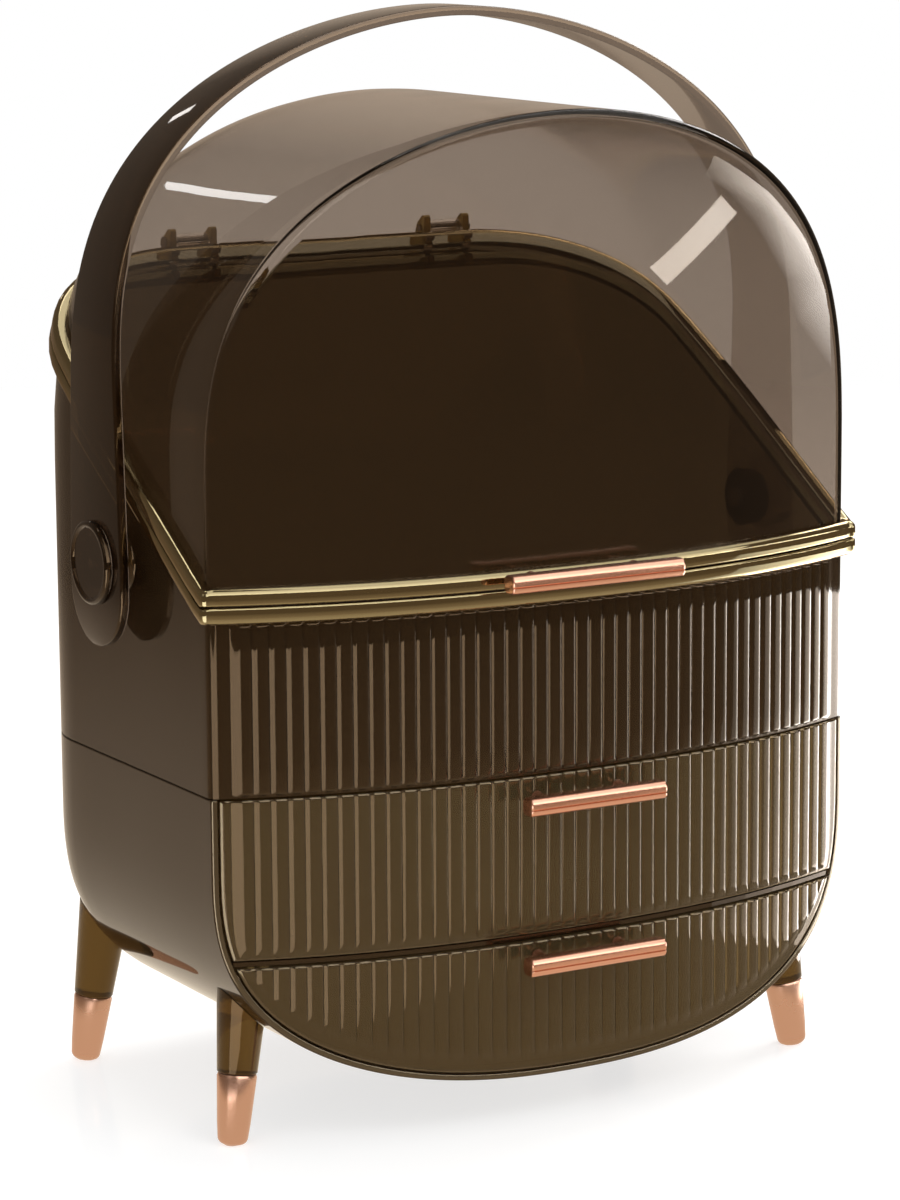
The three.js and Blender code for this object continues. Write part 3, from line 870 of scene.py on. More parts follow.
class EffectLibrary:
    """Shader node groups that several finishes use, each built once."""

    broad = Noise(scale=9)
    broad_share = 0.7
    fine = Noise(scale=160, detail=2)
    grains = Noise(scale=420, detail=4, roughness=0.7)
    grain_limits = (0.45, 0.75)
    waves = Noise(scale=14, detail=1, stretch=(1, 1, 0.6))
    patches = Noise(scale=60)
    edge_limits = (0.51, 0.58)

    def __init__(self) -> None:
        """Builds every group."""
        self.variation = self.build_variation()
        self.dust = self.build_dust()
        self.flow = self.build_flow()
        self.wear = self.build_wear()

    @staticmethod
    def start(name: str, inputs: dict[str, float], output: str) -> tuple[Graph, dict, Socket]:
        """Opens a group.

        Args:
            name: Name of the group.
            inputs: Names and values of its number inputs.
            output: Name of its one number output.

        Returns:
            The graph, its input sockets by name, and the socket to feed.
        """
        tree = bpy.data.node_groups.new(name, "ShaderNodeTree")
        for label, value in inputs.items():
            socket = tree.interface.new_socket(name=label, in_out="INPUT", socket_type="NodeSocketFloat")
            socket.default_value = value
        tree.interface.new_socket(name=output, in_out="OUTPUT", socket_type="NodeSocketFloat")
        graph = Graph(tree)
        entry = graph.add("NodeGroupInput")
        leave = graph.add("NodeGroupOutput")
        return graph, {label: entry.outputs[label] for label in inputs}, leave.inputs[output]

    def build_variation(self) -> bpy.types.NodeTree:
        """Builds a value that wanders between two limits over the surface, with fine specks.

        Returns:
            The group.
        """
        graph, values, result = self.start("surface_variation", {"Low": 0.02, "High": 0.06}, "Value")
        broad = graph.math("MULTIPLY", graph.noise(self.broad), self.broad_share)
        fine = graph.math("MULTIPLY", graph.noise(self.fine), 1 - self.broad_share)
        spread = graph.math("SUBTRACT", values["High"], values["Low"])
        wander = graph.math("MULTIPLY", graph.math("ADD", broad, fine), spread)
        graph.join(graph.math("ADD", wander, values["Low"]), result)
        return graph.tree

    def build_dust(self) -> bpy.types.NodeTree:
        """Builds a mask of fine dust on faces that look upwards.

        Returns:
            The group.
        """
        graph, values, result = self.start("settled_dust", {"Amount": 0.2}, "Mask")
        shape = graph.add("ShaderNodeNewGeometry")
        parts = graph.add("ShaderNodeSeparateXYZ")
        graph.feed(parts, Vector=shape.outputs["Normal"])
        upward = graph.math("SMOOTH_MAX", parts.outputs["Z"], 0.0)
        specks = graph.ramp(graph.noise(self.grains), self.grain_limits, (0, 1))
        settled = graph.math("MULTIPLY", upward, specks)
        graph.join(graph.math("MULTIPLY", settled, values["Amount"]), result)
        return graph.tree

    def build_flow(self) -> bpy.types.NodeTree:
        """Builds the height of the slight waves that moulding leaves in a clear wall.

        Returns:
            The group.
        """
        graph, values, result = self.start("mould_flow", {"Depth": 0.5}, "Height")
        graph.join(graph.math("MULTIPLY", graph.noise(self.waves), values["Depth"]), result)
        return graph.tree

    def build_wear(self) -> bpy.types.NodeTree:
        """Builds a mask of edges that handling has rubbed.

        Returns:
            The group.
        """
        graph, values, result = self.start("edge_wear", {"Amount": 0.5}, "Mask")
        shape = graph.add("ShaderNodeNewGeometry")
        edge = graph.ramp(shape.outputs["Pointiness"], self.edge_limits, (0, 1))
        rubbed = graph.math("MULTIPLY", edge, graph.noise(self.patches))
        graph.join(graph.math("MULTIPLY", rubbed, values["Amount"]), result)
        return graph.tree


def use_group(graph: Graph, tree: bpy.types.NodeTree, **values: float) -> Socket:
    """Places a group in a material.

    Args:
        graph: Graph of the material.
        tree: The group.
        values: Value of each of its inputs.

    Returns:
        The group's output.
    """
    node = graph.add("ShaderNodeGroup", node_tree=tree)
    graph.feed(node, **values)
    return node.outputs[0]


@dataclass(frozen=True)
class TintedPlastic:
    """Clear moulded plastic with a smoky tint, seen through both faces of a wall."""

    name: str
    tint: Colour
    shade: Colour
    roughness: Pair = (0.015, 0.05)
    refraction: float = 1.45
    dust: float = 0.05
    flow: float = 0.0006
    clearness: float = 1.0
    sheen: Colour = (1.0, 0.85, 0.7)
    metallic: float = 0.0
    veil: float = 0.0
    deep_share: float = 0.94
    pale_share: float = 0.4
    dust_roughness: float = 0.4
    bump_strength: float = 0.6

    def build(self, effects: EffectLibrary) -> bpy.types.Material:
        """Builds the material.

        Args:
            effects: Shared node groups.

        Returns:
            The material, which lets tinted light through in its shadows.
        """
        material, graph, shader = new_material(self.name)
        rough = use_group(graph, effects.variation, Low=self.roughness[0], High=self.roughness[1])
        dust = use_group(graph, effects.dust, Amount=self.dust)
        pale = tuple(min(1.0, channel * (1 - self.pale_share) + self.pale_share) for channel in self.tint)
        deep = tuple(channel * self.deep_share for channel in self.tint)
        cloudy = use_group(graph, effects.variation, Low=0.0, High=1.0)
        bump = graph.add("ShaderNodeBump")
        waves = use_group(graph, effects.flow, Depth=1.0)
        graph.feed(bump, Strength=self.bump_strength, Distance=self.flow, Height=waves)
        graph.feed(
            shader,
            Base_Color=graph.blend(dust, graph.blend(cloudy, self.tint, deep), pale),
            Roughness=graph.math("ADD", rough, graph.math("MULTIPLY", dust, self.dust_roughness)),
            Normal=bump.outputs["Normal"],
            IOR=self.refraction,
            Transmission_Weight=self.clearness,
            Specular_Tint=(*self.sheen, 1),
            Metallic=self.metallic,
        )
        light = graph.add("ShaderNodeLightPath")
        passing = graph.add("ShaderNodeBsdfTransparent")
        graph.feed(passing, Color=(*self.shade, 1))
        veiled = graph.math("MULTIPLY", light.outputs["Is Transmission Ray"], self.veil)
        shaded = graph.math("MAXIMUM", light.outputs["Is Shadow Ray"], veiled)
        graph.finish(shaded, shader.outputs[0], passing.outputs[0])
        return material


@dataclass(frozen=True)
class PolishedMetal:
    """Plated metal with fine polishing marks and slightly rubbed edges."""

    name: str
    colour: Colour
    worn: Colour
    roughness: Pair = (0.12, 0.24)
    wear: float = 0.6
    wear_roughness: float = 0.2
    dust: float = 0.06
    dust_colour: Colour = (0.8, 0.76, 0.72)
    grain: float = 0.00002
    marks: Noise = Noise(scale=900, stretch=(0.06, 1, 1))

    def build(self, effects: EffectLibrary) -> bpy.types.Material:
        """Builds the material.

        Args:
            effects: Shared node groups.

        Returns:
            The material.
        """
        material, graph, shader = new_material(self.name)
        rough = use_group(graph, effects.variation, Low=self.roughness[0], High=self.roughness[1])
        wear = use_group(graph, effects.wear, Amount=self.wear)
        dust = use_group(graph, effects.dust, Amount=self.dust)
        bump = graph.add("ShaderNodeBump")
        graph.feed(bump, Distance=self.grain, Height=graph.noise(self.marks))
        graph.feed(
            shader,
            Base_Color=graph.blend(dust, graph.blend(wear, self.colour, self.worn), self.dust_colour),
            Roughness=graph.math("ADD", rough, graph.math("MULTIPLY", wear, self.wear_roughness)),
            Normal=bump.outputs["Normal"],
            Metallic=1.0,
        )
        return material


@dataclass(frozen=True)
class PaleFloor:
    """White studio floor that keeps a soft shadow and fades into the backdrop."""

    name: str = "pale_floor"
    colour: Colour = (0.93, 0.93, 0.93)
    roughness: float = 0.12
    lit_share_near: float = 0.6
    white_boost: float = 0.72
    near: float = 0.5
    far: float = 2.2
    mirrored_near: float = 0.25
    mirrored_far: float = 1.3
    mirrored_low: float = 0.26
    near_tone: Colour = (1.0, 0.86, 0.68)
    far_tone: Colour = (1.0, 0.72, 0.5)

    def build(self) -> bpy.types.Material:
        """Builds the material.

        Returns:
            The material: lit near the object, plain white far from it, dim in far reflections.
        """
        material, graph, shader = new_material(self.name)
        graph.feed(shader, Base_Color=(*self.colour, 1), Roughness=self.roughness)
        rays = Rays.of(graph)
        place = graph.add("ShaderNodeTexCoord")
        length = graph.add("ShaderNodeVectorMath", operation="LENGTH")
        graph.join(place.outputs["Object"], length.inputs[0])
        away = length.outputs["Value"]
        dim = graph.ramp(away, (self.mirrored_near, self.mirrored_far), (1, self.mirrored_low))
        faded = graph.math("SUBTRACT", 1.0, dim)
        level = graph.math("SUBTRACT", 1.0, graph.math("MULTIPLY", rays.reflected, faded))
        lift = graph.ramp(away, (self.near, self.far), (self.white_boost, 0))
        tone = graph.blend(faded, self.near_tone, self.far_tone)
        glow = graph.add("ShaderNodeEmission")
        graph.feed(
            glow,
            Color=graph.blend(rays.reflected, WHITE, tone),
            Strength=graph.math("ADD", level, graph.math("MULTIPLY", rays.through, lift)),
        )
        plain = graph.ramp(away, (self.near, self.far), (1 - self.lit_share_near, 1))
        seen = graph.math("MULTIPLY", rays.through, plain)
        share = graph.math("ADD", seen, rays.reflected, clamp=True)
        graph.finish(share, shader.outputs[0], glow.outputs[0])
        return material


@dataclass(frozen=True)
class Rays:
    """Masks of the rays that see the backdrop."""

    through: Socket
    reflected: Socket

    @staticmethod
    def of(graph: Graph) -> "Rays":
        """Adds the masks.

        Args:
            graph: Graph of the material or the world.

        Returns:
            Masks of straight or refracted rays, and of rays mirrored on their way.
        """
        light = graph.add("ShaderNodeLightPath")
        seen = graph.math("ADD", light.outputs["Is Camera Ray"], light.outputs["Is Glossy Ray"], clamp=True)
        seen = graph.math("ADD", seen, light.outputs["Is Transmission Ray"], clamp=True)
        mirrored = graph.math("MINIMUM", light.outputs["Glossy Depth"], 1.0)
        reflected = graph.math("MULTIPLY", seen, mirrored)
        through = graph.math("SUBTRACT", seen, reflected, clamp=True)
        return Rays(through, reflected)


@dataclass(frozen=True)
class Viewpoint:
    """Camera at the photograph's viewing angle."""

    place: Place = (-0.8600, -1.4908, 0.5197)
    azimuth: float = math.radians(29.98)
    elevation: float = math.radians(10.55)
    roll: float = math.radians(-0.36)
    lens: float = 124.99
    sensor: float = 36.0

    def build(self) -> None:
        """Makes the camera and sets it as the scene's."""
        data = bpy.data.cameras.new("photo_view")
        data.lens = self.lens
        data.sensor_width = self.sensor
        camera = link("photo_view", data)
        level = math.cos(self.elevation)
        forward = Vector((
            math.sin(self.azimuth) * level,
            math.cos(self.azimuth) * level,
            -math.sin(self.elevation),
        ))
        right = Vector((math.cos(self.azimuth), -math.sin(self.azimuth), 0))
        up = right.cross(forward)
        turned_right = right * math.cos(self.roll) + up * math.sin(self.roll)
        turned_up = up * math.cos(self.roll) - right * math.sin(self.roll)
        axes = Matrix((turned_right, turned_up, -forward)).transposed()
        camera.matrix_world = Matrix.Translation(self.place) @ axes.to_4x4()
        bpy.context.scene.camera = camera


@dataclass(frozen=True)
class Softbox:
    """One rectangular studio lamp."""

    name: str
    place: Place
    aim: Place
    size: Pair
    power: float

    def build(self) -> None:
        """Makes the lamp and turns it to its aim."""
        data = bpy.data.lights.new(self.name, "AREA")
        data.shape = "RECTANGLE"
        data.size, data.size_y = self.size
        data.energy = self.power
        lamp = link(self.name, data)
        lamp.visible_camera = False
        lamp.visible_transmission = False
        lamp.location = self.place
        lamp.rotation_mode = "QUATERNION"
        lamp.rotation_quaternion = (Vector(self.aim) - Vector(self.place)).to_track_quat("-Z", "Y")


@dataclass(frozen=True)
class Card:
    """Strip of bright card that only mirrored rays see.

    Corners run along one edge and the other by turns, and each has its own radiance.
    """

    name: str
    corners: tuple[Place, ...]
    radiance: tuple[float, ...]

    def build(self) -> None:
        """Makes the card."""
        mesh = bpy.data.meshes.new(self.name)
        starts = range(0, len(self.corners) - 2, 2)
        mesh.from_pydata(self.corners, [], [(start, start + 1, start + 3, start + 2) for start in starts])
        mesh.attributes.new("glow", "FLOAT", "POINT").data.foreach_set("value", self.radiance)
        material, graph, shader = new_material(self.name)
        glow = graph.add("ShaderNodeAttribute", attribute_name="glow").outputs["Fac"]
        graph.feed(shader, Base_Color=(0, 0, 0, 1), Emission_Color=(*WHITE, 1), Emission_Strength=glow)
        mesh.materials.append(material)
        card = link(self.name, mesh)
        card.visible_camera = False
        card.visible_diffuse = False
        card.visible_transmission = False
        card.visible_shadow = False


@dataclass
class Studio:
    """Floor, backdrop, lamps and cards."""

    floor_half: float = 6.0
    sky_light: float = 0.62
    sky_mirrored: Pair = (0.22, 0.5)
    sky_tone: Colour = (1.0, 0.8, 0.62)
    bright_toward: Place = (0.49, 0.852, 0.183)
    bright_spread: Pair = (0.93, 0.995)
    bounces: int = 28
    lamps: tuple[Softbox, ...] = (
        Softbox("right_softbox", (1.5, 0.6, 1.5), (0, 0, 0.2), (0.9, 1.0), 20),
        Softbox("front_softbox", (0.3, -1.7, 1.7), (0, 0, 0.25), (1.4, 0.9), 12),
        Softbox("top_softbox", (0.3, 0.3, 1.9), (0, 0, 0.2), (1.0, 1.0), 12),
        Softbox("left_fill", (-1.6, -0.6, 1.2), (0, 0, 0.2), (0.9, 1.2), 2),
    )
    cards: tuple[Card, ...] = (
        Card("front_card", (
            (0.863, -0.701, 0.283), (0.904, -0.654, 0.272), (0.677, -0.859, 0.241), (0.722, -0.826, 0.229),
        ), (20, 20, 20, 20)),
        Card("top_card", (
            (-0.083, 0.939, 0.822), (-0.119, 0.931, 0.821), (-0.070, 0.825, 0.848), (-0.107, 0.820, 0.847),
        ), (5, 5, 5, 5)),
        Card("overhead_card", (
            (-0.1, -0.9, 1.5), (1.6, -0.9, 1.5), (-0.1, 0.6, 1.5), (1.6, 0.6, 1.5),
        ), (2.1, 1.4, 2.1, 1.4)),
        Card("tall_card", (
            (-0.7, -1.6, 0.42), (2.0, -1.6, 0.42), (-0.7, -0.9, 1.5), (2.0, -0.9, 1.5),
        ), (3.5, 3.5, 1.6, 1.6)),
        Card("right_rib_card", (
            (0.258, -0.262, 0.002), (1.050, -0.757, 0.002), (0.291, -0.178, 0.002), (1.203, -0.400, 0.002),
            (0.298, -0.068, 0.002), (1.233, 0.030, 0.002), (0.278, 0.012, 0.002), (1.150, 0.365, 0.002),
        ), (1, 1, 4, 4, 14, 14, 12, 12)),
        Card("left_rib_card", (
            (-0.215, -0.250, 0.002), (-0.640, -1.150, 0.002),
            (-0.260, -0.100, 0.002), (-1.221, -0.315, 0.002),
        ), (4, 4, 4, 4)),
        Card("edge_card", (
            (0.83, -0.75, 0.300), (0.86, -0.72, 0.335), (0.96, -0.60, 0.262), (1.00, -0.53, 0.300),
            (1.02, -0.49, 0.228), (1.075, -0.39, 0.262), (1.045, -0.44, 0.200), (1.11, -0.30, 0.222),
            (1.06, -0.41, 0.160), (1.12, -0.28, 0.165),
        ), (0, 8, 0, 20, 0, 22, 0, 14, 0, 0)),
    )

    def build(self) -> None:
        """Builds the studio and sets the view transform and light bounces."""
        self.build_floor()
        self.build_world()
        for piece in (*self.lamps, *self.cards):
            piece.build()
        scene = bpy.context.scene
        scene.view_settings.view_transform = "Standard"
        scene.cycles.max_bounces = self.bounces
        scene.cycles.transmission_bounces = self.bounces
        scene.cycles.transparent_max_bounces = self.bounces

    def build_floor(self) -> None:
        """Makes the level floor."""
        reach = self.floor_half
        mesh = bpy.data.meshes.new("studio_floor")
        corners = [(-reach, -reach, 0), (reach, -reach, 0), (reach, reach, 0), (-reach, reach, 0)]
        mesh.from_pydata(corners, [], [(0, 1, 2, 3)])
        mesh.materials.append(PaleFloor().build())
        floor = link("studio_floor", mesh)

    def build_world(self) -> None:
        """Makes the even sky, white to the rays that see the backdrop."""
        world = bpy.data.worlds.new("studio_world")
        world.use_nodes = True
        graph = Graph(world.node_tree)
        sky = graph.tree.nodes["Background"]
        rays = Rays.of(graph)
        place = graph.add("ShaderNodeTexCoord")
        toward = graph.add("ShaderNodeVectorMath", operation="DOT_PRODUCT")
        graph.join(place.outputs["Generated"], toward.inputs[0])
        toward.inputs[1].default_value = self.bright_toward
        low, high = (level - self.sky_light for level in self.sky_mirrored)
        fade = graph.ramp(toward.outputs["Value"], self.bright_spread, (low, high))
        white = graph.ramp(rays.through, (0, 1), (self.sky_light, 1))
        graph.feed(
            sky,
            Strength=graph.math("ADD", white, graph.math("MULTIPLY", rays.reflected, fade)),
            Color=graph.blend(rays.reflected, WHITE, self.sky_tone),
        )
        bpy.context.scene.world = world


@dataclass(frozen=True)
class Finishes:
    """Every material of the object."""

    dome: bpy.types.Material
    bead: bpy.types.Material
    edge: bpy.types.Material
    ear: bpy.types.Material
    knuckle: bpy.types.Material
    shell: bpy.types.Material
    drawer: bpy.types.Material
    leg: bpy.types.Material
    handle: bpy.types.Material
    gold: bpy.types.Material
    shaded_rose_gold: bpy.types.Material
    steel: bpy.types.Material

    @staticmethod
    def build(effects: EffectLibrary) -> "Finishes":
        """Builds the materials.

        Args:
            effects: Shared node groups.

        Returns:
            Every material of the object.
        """
        warm = (1.0, 0.68, 0.40)
        dome = TintedPlastic(
            "clear_dome", tint=(0.515, 0.452, 0.398), shade=(0.60, 0.56, 0.53),
            roughness=(0.008, 0.02), refraction=1.32, dust=0.0, flow=0.0003,
        )
        # Bead faces get a lighter, half-metal copy of the tinted plastic: partly painted highlight, so the
        # bead reads as bright gold lines.
        bead = TintedPlastic(
            "bead_with_painted_highlight", tint=(0.42, 0.34, 0.17), shade=(0.45, 0.38, 0.28),
            roughness=(0.03, 0.07), refraction=1.7, metallic=0.55,
        )
        # Rounded front edges get a lighter, slightly metallic copy of the smoky plastic: a painted
        # highlight that draws light lines along the seams.
        edge = TintedPlastic(
            "edge_with_painted_highlight", tint=(0.24, 0.18, 0.09), shade=(0.42, 0.35, 0.24),
            roughness=(0.04, 0.09), refraction=1.65, metallic=0.2,
        )
        # The ears' lighter, mostly diffuse amber tint stands in for gold glints: partly painted highlight.
        ear = TintedPlastic(
            "amber_ear_painted_glint", tint=(0.62, 0.47, 0.2), shade=(0.6, 0.5, 0.36),
            roughness=(0.03, 0.07), refraction=1.3, dust=0.0, clearness=0.35,
        )
        knuckle = TintedPlastic(
            "clear_knuckle", tint=(0.86, 0.83, 0.79), shade=(0.8, 0.77, 0.74),
            roughness=(0.01, 0.03), refraction=1.12, dust=0.0,
        )
        shell = TintedPlastic(
            "smoky_shell", tint=(0.06, 0.036, 0.016), shade=(0.35, 0.28, 0.2), clearness=0.75, sheen=warm,
        )
        drawer = TintedPlastic(
            "smoky_drawer", tint=(0.21, 0.155, 0.075), shade=(0.42, 0.36, 0.26), clearness=0.8, sheen=warm,
        )
        leg = TintedPlastic(
            "amber_leg", tint=(0.09, 0.045, 0.008), shade=(0.4, 0.3, 0.15), clearness=0.85, sheen=warm,
        )
        handle = TintedPlastic(
            "smoky_handle", tint=(0.045, 0.026, 0.015), shade=(0.9, 0.87, 0.84),
            refraction=1.55, sheen=warm, veil=0.9,
        )
        gold = PolishedMetal(
            "rose_gold_plate", colour=(0.62, 0.32, 0.215), worn=(0.8, 0.47, 0.35), roughness=(0.17, 0.26),
        )
        # Leg tips get a slightly darker, rougher copy of the rose gold; its darker colour is painted shade.
        shaded_rose_gold = PolishedMetal(
            "rose_gold_painted_shade", colour=(0.56, 0.33, 0.235), worn=(0.66, 0.4, 0.28), roughness=(0.2, 0.3),
        )
        steel = PolishedMetal("bright_steel", colour=(0.58, 0.56, 0.53), worn=(0.7, 0.69, 0.67), wear=0.3)
        ordered = (dome, bead, edge, ear, knuckle, shell, drawer, leg, handle, gold, shaded_rose_gold, steel)
        return Finishes(*(one.build(effects) for one in ordered))


@dataclass(frozen=True)
class Ribs:
    """Upright flutes of the front, convex between narrow valleys."""

    pitch: float = 0.0064
    height: float = 0.0009
    border: float = 0.006
    power: float = 4.0
    samples: int = 12

    @property
    def count(self) -> int:
        """How many ribs fit between the borders."""
        return math.floor(2 * (EGG.half_width - self.border) / self.pitch)

    @property
    def start(self) -> float:
        """Place across of the first valley."""
        return -self.count * self.pitch / 2

    def places(self) -> np.ndarray:
        """Places across at which the ribs are sampled."""
        return np.linspace(self.start, -self.start, self.count * self.samples + 1)

    def rise(self, across: np.ndarray) -> np.ndarray:
        """How far the ribs stand out.

        Args:
            across: Places across the width.

        Returns:
            Distances, zero outside the ribs.
        """
        along = ((across - self.start) / self.pitch) % 1
        rounded = 1 - np.abs(2 * along - 1) ** self.power
        inside = np.abs(across) <= -self.start + WELD
        return np.where(inside, self.height * rounded, 0)


RIBS = Ribs()


@dataclass
class Bead:
    """Rounded bead along the parting line."""

    reach: float = PLAN.bead_reach
    height: float = PLAN.bead_height
    soft_round: float = 0.0028
    tight_round: float = 0.0009
    steps: int = 6

    def section(self) -> list[Pair]:
        """Section of the bead.

        Returns:
            Offsets outwards and heights from the parting face, far side first.
        """
        corners = [
            (self.reach - self.soft_round, self.height - self.soft_round, self.soft_round, math.pi / 2),
            (self.reach - self.tight_round, self.tight_round, self.tight_round, 0.0),
        ]
        points = []
        for out, up, radius, start in corners:
            for step in range(self.steps + 1):
                angle = start - (math.pi / 2) * step / self.steps
                points.append((out + radius * math.cos(angle), up + radius * math.sin(angle)))
        return points


@dataclass
class Lid:
    """Clear dome with its bead, cut clear of the hinge ears."""

    bowl: Bowl = field(default_factory=lambda: Bowl(EGG, End.CROWN, columns=96, edge_steps=14))
    bead: Bead = field(default_factory=Bead)

    def build(self, finishes: Finishes) -> None:
        """Builds the dome.

        Args:
            finishes: Materials of the object.
        """
        gap = PLAN.rim_gap / 2
        top = gap + self.bead.height
        surface = Surface()
        outer = self.bowl.add_skin(surface, 0.0, EGG.parting_line(top))
        inner = self.bowl.add_skin(surface, PLAN.wall, EGG.parting_line(gap))
        rows = [outer.place(EGG, 0.0, EGG.parting_line(top))]
        section = self.bead.section()
        for step, (out, up) in enumerate(section, 1):
            stations = outer.toward(inner, step / (len(section) + 1))
            rows.append(stations.place(EGG, -out, EGG.parting_line(gap + up)))
        rows.append(inner.place(EGG, PLAN.wall, EGG.parting_line(gap)))
        # The bead's faces take the second finish, the lighter copy of the plastic that carries a painted
        # highlight.
        surface.add_grid(np.array(rows[:-1]), closed=True, finish=1)
        surface.add_grid(np.array(rows[-2:]), closed=True)
        make_piece(
            "lid_dome", surface, Body.LID, finishes.dome, ("lid_shell",),
            accents=(finishes.bead,), rooms=tuple(room for hinge in HINGES for room in hinge.ear_rooms()),
        )


@dataclass
class Tray:
    """Open compartment with its fluted front and bead."""

    floor: float = 0.0024
    side_runs: int = 26
    back_columns: int = 40
    round_steps: int = 12
    border_steps: int = 3
    plain_rows: int = 6
    inner_rows: int = 8
    rib_fade: float = 0.0016
    fade_shares: tuple[float, ...] = (0, 0.12, 0.35, 0.65, 1)
    bead: Bead = field(default_factory=Bead)

    def stations(self) -> Stations:
        """Stations round the plan, close enough across the front for the ribs.

        Returns:
            The stations.
        """
        flat = EGG.half_width - EGG.front_round
        margin = np.linspace(-flat, RIBS.start, self.border_steps + 1)[:-1]
        front = np.concatenate([margin, RIBS.places(), -margin[::-1]]) / flat
        back = np.linspace(-1, 1, self.back_columns)
        return Stations.around(front, np.linspace(0, 1, self.side_runs), back, self.round_steps)

    def fluted_rows(self, stations: Stations, base: float, under: float) -> list[np.ndarray]:
        """Rows of the outer wall up to the bead, its ribs rounded off at both ends.

        Args:
            stations: Places round the plan.
            base: Height of the lower edge.
            under: Distance of the bead's underside below the parting line.

        Returns:
            One loop of points for each level, from the lower edge up.
        """
        top = EGG.rim_height - under
        fades = np.array(self.fade_shares)
        lows = base + self.rib_fade / 2 + self.rib_fade * fades
        highs = top - self.rib_fade * fades[::-1]
        plain = np.linspace(lows[-1], highs[0], self.plain_rows + 2)[1:-1]
        ease = np.sin(fades * math.pi / 2)
        levels = [base, *lows, *plain, *highs]
        bulges = [0, *ease, *np.ones(self.plain_rows), *ease[::-1]]
        face = stations.run == 0
        rows = []
        for level, bulge in zip(levels, bulges):
            line = line_between(level_line(base), EGG.parting_line(-under), (level - base) / (top - base))
            row = stations.place(EGG, 0.0, line)
            row[:, 1] -= np.where(face, RIBS.rise(row[:, 0]) * bulge, 0)
            rows.append(row)
        return rows

    def build(self, finishes: Finishes) -> None:
        """Builds the compartment.

        Args:
            finishes: Materials of the object.
        """
        base = PLAN.seam + PLAN.seat_gap / 2
        gap = PLAN.rim_gap / 2
        stations = self.stations()
        rows = self.fluted_rows(stations, base, self.bead.height + gap)
        plate_rows = len(rows)
        for out, up in self.bead.section():
            rows.append(stations.place(EGG, -out, EGG.parting_line(-gap - up)))
        bead_rows = len(rows)
        rim, bottom = EGG.parting_line(-gap), level_line(base + self.floor)
        for share in np.linspace(0, 1, self.inner_rows):
            rows.append(stations.place(EGG, PLAN.wall, line_between(rim, bottom, share)))
        surface = Surface()
        surface.add_grid(np.array(rows[:plate_rows]), closed=True)
        # The bead's faces take the second finish, the lighter copy of the plastic that carries a painted
        # highlight.
        surface.add_grid(np.array(rows[plate_rows - 1:bead_rows]), closed=True, finish=1)
        surface.add_grid(np.array(rows[bead_rows - 1:]), closed=True)
        surface.add_cap(rows[0])
        surface.add_cap(rows[-1])
        make_piece(
            "tray_shell", surface, Body.ROOT, finishes.shell, ("upper_tray",),
            accents=(finishes.bead,),
        )


@dataclass
class Housing:
    """Belly round the drawers, open in front and on top."""

    form: EggForm = field(default_factory=lambda: replace(EGG, front_round=0.0))
    columns: int = 110
    edge_round: float = 0.0008

    def build(self, finishes: Finishes) -> None:
        """Builds the belly.

        Args:
            finishes: Materials of the object.
        """
        top = level_line(PLAN.seam - PLAN.seat_gap / 2)
        bowl = Bowl(self.form, End.BELLY, columns=self.columns)
        surface = Surface()
        fronts, rims = [], []
        for inset in (0.0, PLAN.wall):
            rings = bowl.rings(inset, top)
            rings[0, :, 1] = self.form.front_at(rings[0, :, 0], np.zeros(rings.shape[1]))
            sheet = bowl.sheet(rings[-1], top)
            surface.add_grid(rings)
            surface.add_grid(sheet)
            fronts.append(rings[0])
            rims.append(np.concatenate([rings[:, 0], sheet[0][1:-1], rings[::-1, -1]]))
        # The front rim takes the second finish, the lighter edge copy whose brightness is a painted
        # highlight.
        surface.add_grid(np.array(fronts), finish=1)
        surface.add_grid(np.array(rims))
        make_piece(
            "belly_shell", surface, Body.ROOT, finishes.shell, ("lower_housing",),
            Trim(bevel=self.edge_round), (finishes.edge,),
        )


